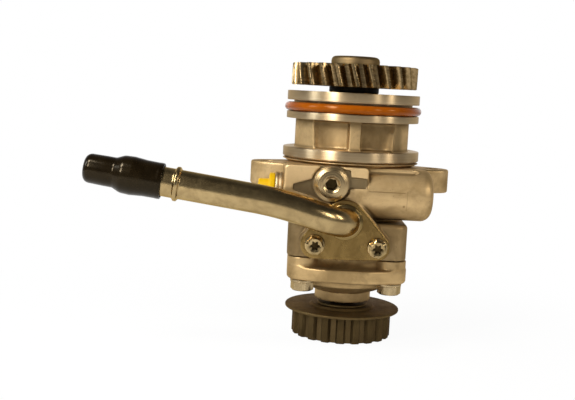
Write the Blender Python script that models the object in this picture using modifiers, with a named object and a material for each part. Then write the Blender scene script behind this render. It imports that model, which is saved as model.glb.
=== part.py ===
"""Power steering pump with a helical drive gear, a toothed drive coupling and a bent suction pipe.

Run with: blender --background --python part.py
Units are metres, +Z is up. The origin is on the shaft's axis, at the flat lower end of the shaft,
level with the foot of the coupling that the pump stands on. The front, where the suction pipe is
bolted on, faces -Y, and the pipe runs towards -X.
"""

import math

import bpy
import bmesh
from mathutils import Matrix, Vector

MM = 0.001

# Fits that are shared by all pieces
CLEARANCE = 0.3 * MM            # gap between two solids that touch on the real pump
CUT_OVERSHOOT = 2.0 * MM        # how far a cutter reaches past the face that it leaves through
SINK = 2.0 * MM                 # how far two forms of one casting reach into each other
SHAFT_ROOM = 1.0 * MM           # radial room round the shaft where nothing touches it
ROUND_STEPS = 32                # facets round a large turned piece
MEDIUM_STEPS = 20
SMALL_STEPS = 14
HOLE_STEPS = 10

# Drive coupling, which is also the foot of the pump
COUPLING_TEETH = 20
COUPLING_TIP_R = 32.3 * MM
COUPLING_TOOTH_DEPTH = 2.6 * MM
COUPLING_TOOTH_HEIGHT = 16.8 * MM
COUPLING_FLANGE_R = 37.3 * MM
COUPLING_FLANGE_THICK = 1.8 * MM
COUPLING_HUB_R = 20.0 * MM
COUPLING_HUB_STEP_R = 16.0 * MM
COUPLING_HUB_RISE = 1.4 * MM
COUPLING_HUB_STEP_RISE = 1.0 * MM
COUPLING_RECESS_R = 25.0 * MM
COUPLING_RECESS_CHAMFER = 1.5 * MM
COUPLING_WEB_Z = 11.0 * MM
COUPLING_NUT_AF = 21.0 * MM
COUPLING_NUT_HEIGHT = 7.5 * MM
COUPLING_WASHER_R = 13.2 * MM
COUPLING_WASHER_THICK = 2.0 * MM

# Shaft, from its thread up
THREAD_R = 7.0 * MM
JOURNAL_STEP = 0.5 * MM         # each seat above the lower thread is this much larger in radius
BEARING_SEAT_R = 10.0 * MM
GEAR_SEAT_R = 9.0 * MM
SHOULDER_R = 12.5 * MM
SHOULDER_LENGTH = 8.0 * MM
SHAFT_END_CHAMFER = 0.8 * MM
SHAFT_TOP_BELOW_HUB = 0.9 * MM
THREAD_RUNOUT = 1.0 * MM        # the thread starts this far below the gear nut's seat

# End cover
COVER_GAP = 2.4 * MM            # running gap between the coupling and the cover's neck
NECK_R = 18.2 * MM
NECK_LENGTH = 6.4 * MM
NECK_CHAMFER = 1.0 * MM
DOME_BOLT_ROOM = 0.57 * MM      # the dome stays this far inside the bolts' flanges
DOME_HEIGHT = 10.6 * MM
COVER_FLANGE_THICK = 8.6 * MM
COVER_BOSS_HEIGHT = 6.2 * MM
COVER_WAIST_R = 36.2 * MM
COVER_FRONT_Y = 43.2 * MM
COVER_FACET_HALF = 12.5 * MM
COVER_FACET_ROUND_R = 3.0 * MM
COVER_EDGE = 2.2 * MM
BOLT_X = 27.4 * MM
BOLT_Y = 28.0 * MM
COVER_CORNER_R = 10.0 * MM
COVER_BOLT_R = 4.0 * MM
COVER_BOLT_AF = 13.0 * MM
COVER_BOLT_HEAD = 5.6 * MM
COVER_BOLT_FLANGE_R = 7.6 * MM
COVER_BOLT_FLANGE = 1.5 * MM
COVER_BOLT_GRIP = 16.0 * MM     # depth of the bolt in the housing

# Pump body: block, valve boss, mounting plate and spigot
BLOCK_LEFT = 38.0 * MM
BLOCK_RIGHT = 36.6 * MM
BLOCK_FRONT = 37.5 * MM
BLOCK_CORNER_R = 9.5 * MM
BLOCK_HEIGHT = 22.5 * MM
BLOCK_EDGE = 3.0 * MM
CORE_R = 33.6 * MM
VALVE_GAP = 3.0 * MM            # open slit between the block and the valve boss
VALVE_BOSS_R = 15.6 * MM
VALVE_AXIS_Y = -28.0 * MM
VALVE_LEFT_X = -42.3 * MM
VALVE_RIGHT_X = 51.4 * MM
VALVE_END_ROUND = 8.0 * MM
VALVE_BORE_R = 8.3 * MM
VALVE_BORE_END_X = 41.0 * MM
PRESSURE_PASSAGE_X = 12.0 * MM
PRESSURE_PASSAGE_IN = 3.0 * MM  # how far behind the valve's axis the passage comes up
PAD_RIGHT_X = 9.4 * MM
PAD_FRONT_Y = -44.0 * MM
PAD_TOP_BELOW_BOSS = 0.7 * MM
PAD_HEIGHT = 13.0 * MM
PAD_FACE_HEIGHT = 6.4 * MM
PAD_LOWER_SET_BACK = 2.6 * MM
PAD_BACK_Y = -20.0 * MM
PAD_CORNER = 1.2 * MM
MOUNT_THICK = 15.0 * MM
MOUNT_TOP_BELOW_BOSS = 0.8 * MM
MOUNT_CORE_R = 37.0 * MM
EAR_X = 53.2 * MM
EAR_R = 10.9 * MM
EAR_HOLE_R = 4.3 * MM
DISC_R = 43.6 * MM
DISC_ABOVE_MOUNT = 3.0 * MM
UNDERCUT_R = 40.5 * MM
UNDERCUT_HEIGHT = 1.5 * MM
STOP_FLANGE_R = 43.8 * MM
STOP_FLANGE_THICK = 6.0 * MM
NECK_TALL = 18.2 * MM
SPIGOT_NECK_R = 36.5 * MM
LAND_R = 42.5 * MM
LOWER_LAND_THICK = 4.4 * MM
RING_GROOVE_HEIGHT = 7.1 * MM
UPPER_LAND_THICK = 6.0 * MM
EDGE_BREAK = 0.5 * MM           # small chamfer on machined edges
O_RING_CORD_R = 2.75 * MM
O_RING_PROUD = 1.4 * MM

# Cored pockets of the spigot's neck
POCKET_CORE_R = 27.0 * MM
POCKET_RIB_HALF = 3.05 * MM
POCKET_END_DEG = 46.0
POCKET_END_DRAFT_DEG = 5.0      # the end wall leans out towards the top
POCKET_CORE_DEG = 37.0
POCKET_FLOOR = 1.0 * MM
POCKET_ROUND = 2.2 * MM

# Ball bearing under the gear
BEARING_OUTER_R = 23.5 * MM
BALL_COUNT = 8
BALL_TO_SECTION = 0.294         # ball radius over the width from the bearing's bore to its outside
BALL_R = BALL_TO_SECTION * (BEARING_OUTER_R - BEARING_SEAT_R)
BALL_PITCH_R = (BEARING_OUTER_R + BEARING_SEAT_R) / 2
BEARING_LEDGE = 3.5 * MM        # width of the ledge that the outer ring stands on
BEARING_WIDTH = 14.0 * MM
BEARING_BELOW_TOP = 5.6 * MM    # top of the bearing below the top of the spigot
CAGE_THICK = 2.0 * MM
CAGE_WALL = 1.3 * MM
CIRCLIP_THICK = 1.5 * MM
CIRCLIP_DEPTH = 1.4 * MM
CIRCLIP_WIDTH = 3.4 * MM
CIRCLIP_GAP_DEG = 24.0

# Drive gear
GEAR_TEETH = 24
GEAR_MODULE = 3.0 * MM          # in the normal plane
GEAR_HELIX_DEG = 15.0
GEAR_PRESSURE_DEG = 20.0
GEAR_WIDTH = 13.9 * MM
GEAR_ABOVE_SPIGOT = 3.7 * MM
GEAR_HUB_R = 15.6 * MM
GEAR_HUB_RISE = 5.6 * MM
GEAR_HUB_ROUND = 2.6 * MM
GEAR_NOSE_R = 13.4 * MM
GEAR_NOSE_STEP = 1.0 * MM       # the hub reaches this far into the spigot before the nose
GEAR_WEB_DEPTH = 2.2 * MM
GEAR_WEB_STEP = 2.9 * MM        # from the hub out to the web
GEAR_RIM = 2.5 * MM             # from the web out to the roots of the teeth
GEAR_COUNTERBORE_R = 12.6 * MM
GEAR_COUNTERBORE = 8.8 * MM
GEAR_NUT_AF = 20.0 * MM
GEAR_NUT_HEIGHT = 7.0 * MM
KEY_WIDTH = 4.0 * MM
KEY_HEIGHT = 4.0 * MM
KEY_LENGTH = 9.0 * MM

# Seals and bushes on the shaft
UPPER_SEAL_R = 16.0 * MM
UPPER_SEAL_THICK = 7.0 * MM
LOWER_SEAL_R = 14.0 * MM
LOWER_SEAL_THICK = 6.0 * MM
SEAL_LIP = 1.6 * MM
BUSH_WALL = 2.0 * MM
UPPER_BUSH_LENGTH = 18.0 * MM
LOWER_BUSH_LENGTH = 19.0 * MM
SEAL_SHOULDER = 3.0 * MM
SEAL_ROOM = 2.0 * MM            # open room above the upper seal

# Pumping group
CAVITY_R = 30.0 * MM
SIDE_PLATE_THICK = 5.0 * MM
CAM_WIDTH = 18.0 * MM
CAM_MINOR_R = 23.8 * MM
CAM_LIFT = 2.0 * MM
ROTOR_ROOT_STEP = 0.5 * MM
VANE_COUNT = 10
VANE_THICK = 1.8 * MM
VANE_LENGTH = 8.2 * MM
VANE_TRAVEL = 1.4 * MM
VANE_FIRST_DEG = 18.0
SLOT_FOOT_R = 1.7 * MM
PIN_R = 1.75 * MM
PIN_PITCH_R = 26.9 * MM
PORT_PITCH_R = 19.5 * MM
PORT_R = 1.8 * MM
PORT_SPAN_DEG = 36.0
COVER_RING_R = 32.3 * MM
COVER_RING_CORD_R = 1.1 * MM
PLATE_RING_CORD_R = 0.9 * MM

# Flow control valve, outlet union and transit plug
UNION_FLANGE_R = 10.0 * MM
UNION_FLANGE_THICK = 4.6 * MM
UNION_LENGTH = 12.0 * MM
UNION_SOCKET_R = 6.6 * MM
UNION_SOCKET_DEPTH = 11.0 * MM
UNION_ORIFICE_R = 3.0 * MM
PLUG_FLANGE_R = 9.3 * MM
PLUG_FLANGE_THICK = 3.6 * MM
PLUG_KNOB_R = 5.5 * MM
PLUG_KNOB_LENGTH = 6.8 * MM
PLUG_STEM_LENGTH = 8.0 * MM
SPOOL_LENGTH = 30.0 * MM
SPOOL_GROOVE = 1.5 * MM
SPOOL_POCKET_DEPTH = 11.0 * MM
SPOOL_POCKET_R = 6.7 * MM
SPRING_COIL_R = 5.5 * MM
SPRING_WIRE_R = 0.7 * MM
SPRING_TURNS = 7

# Hex-socket plug on the valve boss
RELIEF_X = -13.2 * MM
RELIEF_ABOVE_AXIS = 5.6 * MM
RELIEF_BOSS_R = 12.0 * MM
RELIEF_BOSS_FRONT = -46.0 * MM
RELIEF_HEAD_R = 10.4 * MM
RELIEF_HEAD_THICK = 3.2 * MM
RELIEF_WASHER_THICK = 1.0 * MM
RELIEF_STEM_R = 7.0 * MM
RELIEF_STEM_LENGTH = 8.2 * MM
RELIEF_HEX_AF = 6.0 * MM
RELIEF_HEX_DEPTH = 5.0 * MM
RELIEF_PASSAGE_R = 2.5 * MM

# Suction flange, its plate and bolts
PORT_X = -3.8 * MM
PORT_Z = 79.9 * MM
PORT_FACE_Y = -44.0 * MM
FLANGE_TOP_R = 13.3 * MM
FLANGE_THICK = 4.0 * MM
FLANGE_EDGE = 0.8 * MM
FLANGE_BOLTS = (
    # x, z and lobe radius of the two fixing holes
    (-21.3 * MM, 65.2 * MM, 8.8 * MM),
    (16.6 * MM, 64.9 * MM, 7.8 * MM),
)
FLANGE_SEAT_MARGIN = 0.5 * MM
FLANGE_BOLT_R = 3.0 * MM
FLANGE_BOLT_REACH = 10.0 * MM
FLANGE_BOLT_HEAD_AF = 10.0 * MM
FLANGE_BOLT_HEAD = 4.6 * MM
FLANGE_BOLT_WASHER_R = 6.4 * MM
FLANGE_BOLT_WASHER = 1.2 * MM
FLANGE_BOLT_STAR_R = 2.7 * MM
FLANGE_BOLT_STAR_DEPTH = 2.6 * MM

# Suction pipe and its transit cap
PIPE_R = 8.7 * MM
PIPE_WALL = 1.3 * MM
PIPE_SPIGOT = 9.0 * MM
PORT_STEP = 2.4 * MM            # the passage behind the pipe is this much smaller in radius
PIPE_ELBOW_R = 17.0 * MM
PIPE_RISE_DEG = 16.4
PIPE_END_DEG = 7.5
PIPE_FIRST_RUN = 9.0 * MM
PIPE_SWEEP_R = 200.0 * MM
PIPE_LAST_RUN = 77.5 * MM
PIPE_COLLAR_R = 10.9 * MM
PIPE_COLLAR_WIDTH = 2.0 * MM
PIPE_BEAD_R = 10.2 * MM
PIPE_BEAD_WIDTH = 3.4 * MM
PIPE_BEAD_FROM_END = 32.0 * MM
PIPE_BARB_R = 9.2 * MM
PIPE_BARB_FROM_END = 3.2 * MM
PIPE_RING_CORD_R = 1.2 * MM
CAP_LIP_R = 10.7 * MM
CAP_BULGE_R = 11.5 * MM
CAP_NOSE_R = 8.9 * MM
CAP_WALL = 1.5 * MM
CAP_ON_PIPE = 23.5 * MM
CAP_BULGE_FROM_LIP = 21.0 * MM
CAP_SHOULDER = 7.5 * MM
CAP_NOSE_LENGTH = 17.8 * MM
CAP_NOSE_ROUND = 4.0 * MM


# Heights worked out from the values above, from the foot up

COUPLING_TOP_Z = COUPLING_TOOTH_HEIGHT + COUPLING_FLANGE_THICK
COUPLING_HUB_Z = COUPLING_TOP_Z + COUPLING_HUB_RISE
COUPLING_HUB_TOP_Z = COUPLING_HUB_Z + COUPLING_HUB_STEP_RISE
NECK_BOTTOM_Z = COUPLING_HUB_TOP_Z + COVER_GAP
DOME_BOTTOM_Z = NECK_BOTTOM_Z + NECK_LENGTH
COVER_BOTTOM_Z = DOME_BOTTOM_Z + DOME_HEIGHT
COVER_LEDGE_Z = COVER_BOTTOM_Z + COVER_FLANGE_THICK
COVER_TOP_Z = COVER_LEDGE_Z + COVER_BOSS_HEIGHT
BLOCK_BOTTOM_Z = COVER_TOP_Z + CLEARANCE
BLOCK_TOP_Z = BLOCK_BOTTOM_Z + BLOCK_HEIGHT
VALVE_Z = BLOCK_TOP_Z + VALVE_GAP + VALVE_BOSS_R
BOSS_TOP_Z = VALVE_Z + VALVE_BOSS_R
MOUNT_TOP_Z = BOSS_TOP_Z - MOUNT_TOP_BELOW_BOSS
MOUNT_BOTTOM_Z = MOUNT_TOP_Z - MOUNT_THICK
DISC_TOP_Z = MOUNT_TOP_Z + DISC_ABOVE_MOUNT
FLANGE_BOTTOM_Z = DISC_TOP_Z + UNDERCUT_HEIGHT
FLANGE_TOP_Z = FLANGE_BOTTOM_Z + STOP_FLANGE_THICK
LAND_BOTTOM_Z = FLANGE_TOP_Z + NECK_TALL
GROOVE_BOTTOM_Z = LAND_BOTTOM_Z + LOWER_LAND_THICK
GROOVE_TOP_Z = GROOVE_BOTTOM_Z + RING_GROOVE_HEIGHT
SPIGOT_TOP_Z = GROOVE_TOP_Z + UPPER_LAND_THICK
GEAR_BOTTOM_Z = SPIGOT_TOP_Z + GEAR_ABOVE_SPIGOT
GEAR_TOP_Z = GEAR_BOTTOM_Z + GEAR_WIDTH
GEAR_HUB_TOP_Z = GEAR_TOP_Z + GEAR_HUB_RISE
SHAFT_TOP_Z = GEAR_HUB_TOP_Z - SHAFT_TOP_BELOW_HUB
GEAR_NUT_SEAT_Z = GEAR_HUB_TOP_Z - GEAR_COUNTERBORE

GEAR_PITCH_R = GEAR_TEETH * GEAR_MODULE / math.cos(math.radians(GEAR_HELIX_DEG)) / 2
GEAR_ROOT_R = GEAR_PITCH_R - 1.25 * GEAR_MODULE
GEAR_WEB_OUTER_R = GEAR_ROOT_R - GEAR_RIM
GEAR_WEB_INNER_R = GEAR_HUB_R + GEAR_WEB_STEP

BEARING_TOP_Z = SPIGOT_TOP_Z - BEARING_BELOW_TOP
BEARING_BOTTOM_Z = BEARING_TOP_Z - BEARING_WIDTH
BEARING_MID_Z = BEARING_BOTTOM_Z + BEARING_WIDTH / 2
BEARING_BORE_R = BEARING_OUTER_R + CLEARANCE

COUPLING_SEAT_R = THREAD_R + JOURNAL_STEP
LOWER_JOURNAL_R = COUPLING_SEAT_R + JOURNAL_STEP
SHAFT_R = LOWER_JOURNAL_R + JOURNAL_STEP

DOME_R = math.hypot(BOLT_X, BOLT_Y) - COVER_BOLT_FLANGE_R - DOME_BOLT_ROOM

# The pumping group stands on the cover's top face
LOWER_PLATE_Z = BLOCK_BOTTOM_Z
CAM_Z = LOWER_PLATE_Z + SIDE_PLATE_THICK + CLEARANCE
UPPER_PLATE_Z = CAM_Z + CAM_WIDTH + CLEARANCE
CAVITY_TOP_Z = UPPER_PLATE_Z + SIDE_PLATE_THICK + CLEARANCE
INSERT_R = CAVITY_R - CLEARANCE
ROTOR_R = CAM_MINOR_R - CLEARANCE - 0.1 * MM
VANE_TIP_R = CAM_MINOR_R - CLEARANCE

UPPER_BUSH_R = SHAFT_R + CLEARANCE + BUSH_WALL
UPPER_BUSH_Z = CAVITY_TOP_Z + 1.5 * MM
UPPER_BUSH_TOP_Z = UPPER_BUSH_Z + UPPER_BUSH_LENGTH
SEAL_FLOOR_Z = UPPER_BUSH_TOP_Z + CLEARANCE + SEAL_SHOULDER
UPPER_SEAL_Z = SEAL_FLOOR_Z + CLEARANCE
LOWER_BUSH_R = LOWER_JOURNAL_R + CLEARANCE + BUSH_WALL
LOWER_SEAL_Z = NECK_BOTTOM_Z + 0.5 * MM
LOWER_SEAL_TOP_Z = LOWER_SEAL_Z + LOWER_SEAL_THICK
LOWER_BUSH_TOP_Z = COVER_TOP_Z - 1.0 * MM
LOWER_BUSH_Z = LOWER_BUSH_TOP_Z - LOWER_BUSH_LENGTH

O_RING_PITCH_R = LAND_R + O_RING_PROUD - O_RING_CORD_R
O_RING_Z = GROOVE_BOTTOM_Z + CLEARANCE + O_RING_CORD_R
RING_GROOVE_R = O_RING_PITCH_R - O_RING_CORD_R - CLEARANCE

UNION_OUT_X = VALVE_LEFT_X - CLEARANCE - UNION_FLANGE_THICK
UNION_IN_X = VALVE_LEFT_X - CLEARANCE + UNION_LENGTH
UNION_SOCKET_X = UNION_OUT_X + UNION_SOCKET_DEPTH
SPOOL_X = UNION_IN_X + CLEARANCE
SPOOL_R = VALVE_BORE_R - CLEARANCE
RELIEF_Z = VALVE_Z + RELIEF_ABOVE_AXIS
RELIEF_WASHER_Y = RELIEF_BOSS_FRONT - CLEARANCE
RELIEF_HEAD_Y = RELIEF_WASHER_Y - RELIEF_WASHER_THICK - CLEARANCE
PLATE_BACK_Y = PORT_FACE_Y - CLEARANCE
PLATE_FRONT_Y = PLATE_BACK_Y - FLANGE_THICK


# Scene and collections

for old_object in list(bpy.data.objects):
    bpy.data.objects.remove(old_object, do_unlink=True)

parts = bpy.data.collections.new("power_steering_pump")
cutters = bpy.data.collections.new("cutters")
bpy.context.scene.collection.children.link(parts)
bpy.context.scene.collection.children.link(cutters)


# Materials

def make_material(name, colour, roughness, metallic):
    """One Principled material with the piece's colour and finish."""
    material = bpy.data.materials.new(name)
    material.use_nodes = True
    shader = material.node_tree.nodes["Principled BSDF"]
    shader.inputs["Base Color"].default_value = (*colour, 1.0)
    shader.inputs["Roughness"].default_value = roughness
    shader.inputs["Metallic"].default_value = metallic
    material.diffuse_color = (*colour, 1.0)
    return material


CAST_ALUMINIUM = ((0.62, 0.56, 0.46), 0.55, 0.9)
SINTERED_STEEL = ((0.10, 0.08, 0.06), 0.6, 0.8)
GEAR_STEEL = ((0.28, 0.23, 0.17), 0.4, 1.0)
BRIGHT_STEEL = ((0.58, 0.55, 0.50), 0.3, 1.0)
BEARING_STEEL = ((0.66, 0.66, 0.66), 0.15, 1.0)
YELLOW_ZINC = ((0.62, 0.55, 0.30), 0.35, 1.0)
BRONZE = ((0.55, 0.40, 0.20), 0.4, 1.0)
ORANGE_RUBBER = ((0.72, 0.22, 0.03), 0.4, 0.0)
BLACK_RUBBER = ((0.02, 0.02, 0.02), 0.5, 0.0)
BLACK_VINYL = ((0.012, 0.010, 0.008), 0.15, 0.0)
YELLOW_PLASTIC = ((0.85, 0.62, 0.02), 0.4, 0.0)
COPPER = ((0.70, 0.42, 0.28), 0.35, 1.0)


# Making and placing solids

def to_collection(obj, collection):
    """Move an object from wherever it was made into one collection."""
    for user in list(obj.users_collection):
        user.objects.unlink(obj)
    collection.objects.link(obj)


def object_from_bmesh(name, bm, collection=parts):
    """Put a bmesh into a new object, with its faces turned outwards."""
    bmesh.ops.recalc_face_normals(bm, faces=bm.faces[:])
    mesh = bpy.data.meshes.new(name)
    bm.to_mesh(mesh)
    bm.free()
    obj = bpy.data.objects.new(name, mesh)
    collection.objects.link(obj)
    return obj


def finish(obj, finish_values, smooth_deg=35.0):
    """Give a finished piece its own material and smooth its round faces."""
    obj.data.materials.clear()
    obj.data.materials.append(make_material(obj.name, *finish_values))
    obj.data.shade_smooth()
    obj.data.set_sharp_from_angle(angle=math.radians(smooth_deg))
    return obj


AXIS_TURNS = {
    # how a profile that is turned round Z is laid over so that its axis points another way
    "Z": Matrix.Identity(4),
    "X": Matrix.Rotation(math.radians(90), 4, "Y"),
    "-X": Matrix.Rotation(math.radians(-90), 4, "Y"),
    "Y": Matrix.Rotation(math.radians(-90), 4, "X"),
    "-Y": Matrix.Rotation(math.radians(90), 4, "X"),
}


def turned(name, profile, steps=MEDIUM_STEPS, collection=parts, axis="Z", at=(0, 0, 0)):
    """Turn a profile of (radius, height) points with a Screw modifier.

    The profile runs down its outer side from top to bottom. One that starts and ends on the
    axis is solid, and any other is closed into a ring.
    """
    mesh = bpy.data.meshes.new(name)
    points = [(radius, 0.0, height) for radius, height in profile]
    edges = [(i, i + 1) for i in range(len(points) - 1)]
    if profile[0][0] > 0.0 or profile[-1][0] > 0.0:
        edges.append((len(points) - 1, 0))
    mesh.from_pydata(points, edges, [])
    obj = bpy.data.objects.new(name, mesh)
    collection.objects.link(obj)
    screw = obj.modifiers.new("Turn", "SCREW")
    screw.axis = "Z"
    screw.steps = steps
    screw.render_steps = steps
    screw.use_merge_vertices = True
    screw.merge_threshold = 0.00001
    obj.matrix_world = Matrix.Translation(Vector(at)) @ AXIS_TURNS[axis]
    return settle(obj)


def settle(obj):
    """Replace an object's mesh by what its modifiers make, with its place kept in the mesh."""
    depsgraph = bpy.context.evaluated_depsgraph_get()
    mesh = bpy.data.meshes.new_from_object(obj.evaluated_get(depsgraph))
    mesh.transform(obj.matrix_world)
    obj.modifiers.clear()
    obj.data = mesh
    obj.matrix_world = Matrix.Identity(4)
    merge_flats(obj)
    return obj


def merge_flats(obj):
    """Merge the neighbouring facets of an object that lie in one plane."""
    bm = bmesh.new()
    bm.from_mesh(obj.data)
    bmesh.ops.dissolve_limit(
        bm, angle_limit=math.radians(0.2), use_dissolve_boundaries=False, verts=bm.verts[:], edges=bm.edges[:])
    bm.to_mesh(obj.data)
    bm.free()


def flat_plate(name, outlines, low, high, collection=parts, axis="Z"):
    """Extrude closed outlines between two heights: the first is the edge, the others are holes.

    With axis Z the outline's points are (x, y). With axis Y they are (x, z), and low and high are
    the plate's back and front along Y.
    """
    curve = bpy.data.curves.new(name, "CURVE")
    curve.dimensions = "2D"
    curve.fill_mode = "BOTH"
    curve.extrude = abs(high - low) / 2
    for outline in outlines:
        spline = curve.splines.new("POLY")
        spline.points.add(len(outline) - 1)
        for point, (u, v) in zip(spline.points, outline):
            point.co = (u, v, 0.0, 1.0)
        spline.use_cyclic_u = True
    drawn = bpy.data.objects.new(name + "_outline", curve)
    cutters.objects.link(drawn)
    bpy.context.view_layer.update()
    depsgraph = bpy.context.evaluated_depsgraph_get()
    mesh = bpy.data.meshes.new_from_object(drawn.evaluated_get(depsgraph))
    bm = bmesh.new()
    bm.from_mesh(mesh)
    bmesh.ops.remove_doubles(bm, verts=bm.verts[:], dist=0.000002)
    place = Matrix.Translation((0.0, 0.0, (low + high) / 2))
    if axis == "Y":
        place = Matrix.Translation((0.0, (low + high) / 2, 0.0)) @ Matrix.Rotation(math.radians(90), 4, "X")
    bmesh.ops.transform(bm, matrix=place, verts=bm.verts[:])
    bpy.data.objects.remove(drawn, do_unlink=True)
    bpy.data.meshes.remove(mesh)
    return object_from_bmesh(name, bm, collection)


def bevel(obj, width, segments=2, angle_deg=40.0):
    """Round an object's sharp edges."""
    modifier = obj.modifiers.new("Bevel", "BEVEL")
    modifier.width = width
    modifier.segments = segments
    modifier.limit_method = "ANGLE"
    modifier.angle_limit = math.radians(angle_deg)
    return obj


def boolean(obj, tool, operation):
    """Add a Boolean with a tool object that stays out of the model."""
    to_collection(tool, cutters)
    tool.hide_render = True
    tool.display_type = "WIRE"
    modifier = obj.modifiers.new(operation.title(), "BOOLEAN")
    modifier.operation = operation
    modifier.solver = "EXACT"
    modifier.object = tool
    return obj


def cut(obj, *tools):
    """Cut tools out of an object."""
    for tool in tools:
        boolean(obj, tool, "DIFFERENCE")
    return obj


def fuse(obj, *tools):
    """Join tools to an object as one solid."""
    for tool in tools:
        boolean(obj, tool, "UNION")
    return obj


def rod(name, radius, low, high, axis="Z", at=(0, 0, 0), steps=SMALL_STEPS, collection=cutters):
    """A plain round rod between two distances along its axis, made from Blender's cylinder."""
    bm = bmesh.new()
    bmesh.ops.create_cone(
        bm, cap_ends=True, segments=steps, radius1=radius, radius2=radius, depth=high - low,
        matrix=Matrix.Translation(Vector(at)) @ AXIS_TURNS[axis]
        @ Matrix.Translation((0, 0, (low + high) / 2)) @ Matrix.Rotation(math.pi / steps, 4, "Z"),
    )
    return object_from_bmesh(name, bm, collection)


def block(name, low, high, collection=cutters):
    """A box between two corners."""
    bm = bmesh.new()
    low, high = Vector(low), Vector(high)
    size = high - low
    matrix = Matrix.Translation((low + high) / 2) @ Matrix.Diagonal((*size, 1.0))
    bmesh.ops.create_cube(bm, size=1.0, matrix=matrix)
    return object_from_bmesh(name, bm, collection)


def ring_of(name, cord_r, pitch_r, collection=parts, axis="Z", at=(0, 0, 0), steps=ROUND_STEPS, sides=5):
    """An O-ring: a torus on the given axis."""
    bpy.ops.mesh.primitive_torus_add(
        major_segments=steps, minor_segments=sides, major_radius=pitch_r, minor_radius=cord_r)
    obj = bpy.context.object
    obj.name = name
    obj.data.transform(Matrix.Translation(Vector(at)) @ AXIS_TURNS[axis])
    to_collection(obj, collection)
    return obj


# Outlines

def arc(centre, radius, start_deg, end_deg, count):
    """Points along an arc, both ends included."""
    step = (end_deg - start_deg) / (count - 1)
    angles = [math.radians(start_deg + step * i) for i in range(count)]
    return [(centre[0] + radius * math.cos(a), centre[1] + radius * math.sin(a)) for a in angles]


def circle(centre, radius, count=SMALL_STEPS):
    """Points round a circle."""
    return arc(centre, radius, 0.0, 360.0 * (count - 1) / count, count)


def belt(circles, degrees_per_point=15.0):
    """The outline of a belt pulled round circles (x, y, radius), listed counter-clockwise."""
    count = len(circles)
    normals = []
    for i in range(count):
        x0, y0, r0 = circles[i]
        x1, y1, r1 = circles[(i + 1) % count]
        heading = math.atan2(y1 - y0, x1 - x0)
        lean = math.acos((r0 - r1) / math.hypot(x1 - x0, y1 - y0))
        normals.append(math.degrees(heading - lean))
    outline = []
    for i in range(count):
        x, y, radius = circles[i]
        start = normals[i - 1]
        sweep = (normals[i] - start) % 360.0
        points = max(2, int(math.ceil(sweep / degrees_per_point)) + 1)
        outline += arc((x, y), radius, start, start + sweep, points)
    return outline


def rounded_box(left, right, front, back, radius):
    """A rectangle with round corners, as a belt round four circles."""
    return belt([
        (left + radius, front + radius, radius),
        (right - radius, front + radius, radius),
        (right - radius, back - radius, radius),
        (left + radius, back - radius, radius),
    ])


def hexagon(centre, across_flats, turn_deg=0.0):
    """The six corners of a hexagon."""
    radius = across_flats / math.sqrt(3.0)
    return arc(centre, radius, turn_deg, turn_deg + 300.0, 6)


def fillet(corner_r, corner_z, radius, start_deg, end_deg, count=4):
    """A round corner of a profile: points on a circle of the given radius."""
    return arc((corner_r, corner_z), radius, start_deg, end_deg, count)


# Housing

def valve_boss():
    """The horizontal boss of the flow control valve, with a round blind end."""
    length = VALVE_RIGHT_X - VALVE_LEFT_X
    right_round = min(VALVE_END_ROUND, VALVE_BOSS_R * 0.9)
    profile = [(0.0, length)]
    profile += fillet(VALVE_BOSS_R - right_round, length - right_round, right_round, 90.0, 0.0, 4)
    profile += [
        (VALVE_BOSS_R, EDGE_BREAK * 2),
        (VALVE_BOSS_R - EDGE_BREAK * 2, 0.0),
        (0.0, 0.0),
    ]
    return turned("valve_boss", profile, MEDIUM_STEPS, cutters, "X", (VALVE_LEFT_X, VALVE_AXIS_Y, VALVE_Z))


def valve_pad():
    """The raised pad on the valve boss, with its set-back lower face, drawn in the YZ plane."""
    top = BOSS_TOP_Z - PAD_TOP_BELOW_BOSS
    corner = PAD_CORNER
    section = [
        (PAD_BACK_Y, top),
        (PAD_FRONT_Y + corner, top),
        (PAD_FRONT_Y, top - corner),
        (PAD_FRONT_Y, top - PAD_FACE_HEIGHT),
        (PAD_FRONT_Y + PAD_LOWER_SET_BACK, top - PAD_HEIGHT),
        (PAD_BACK_Y, top - PAD_HEIGHT),
    ]
    left = VALVE_LEFT_X + EDGE_BREAK
    pad = flat_plate("valve_pad", [section], left, PAD_RIGHT_X, cutters)
    # the plate's outline is drawn in (y, z) and pulled along X
    turn = Matrix(((0, 0, 1, 0), (1, 0, 0, 0), (0, 1, 0, 0), (0, 0, 0, 1)))
    pad.data.transform(turn)
    return pad


def neck_pocket(side_x, side_y):
    """One cored pocket of the spigot's neck, between the front or rear rib and a side wall."""
    low = FLANGE_TOP_Z + POCKET_FLOOR
    high = LAND_BOTTOM_Z - POCKET_FLOOR
    reach = LAND_R + 4 * CUT_OVERSHOOT
    bm = bmesh.new()
    loops = []
    for height, draft in ((low, 0.0), (high, POCKET_END_DRAFT_DEG)):
        end = math.radians(POCKET_END_DEG + draft)
        core = math.radians(POCKET_CORE_DEG)
        rib_root = math.asin(POCKET_RIB_HALF / POCKET_CORE_R)
        outline = [(POCKET_RIB_HALF, reach)]
        outline.append((reach * math.sin(end), reach * math.cos(end)))
        for i in range(4):
            angle = core + (rib_root - core) * i / 3
            outline.append((POCKET_CORE_R * math.sin(angle), POCKET_CORE_R * math.cos(angle)))
        loops.append([bm.verts.new((side_x * x, side_y * y, height)) for x, y in outline])
    bm.faces.new(loops[0])
    bm.faces.new(loops[1])
    count = len(loops[0])
    for i in range(count):
        j = (i + 1) % count
        bm.faces.new((loops[0][i], loops[0][j], loops[1][j], loops[1][i]))
    pocket = object_from_bmesh("neck_pocket", bm, cutters)
    return bevel(pocket, POCKET_ROUND, 1, 30.0)


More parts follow.
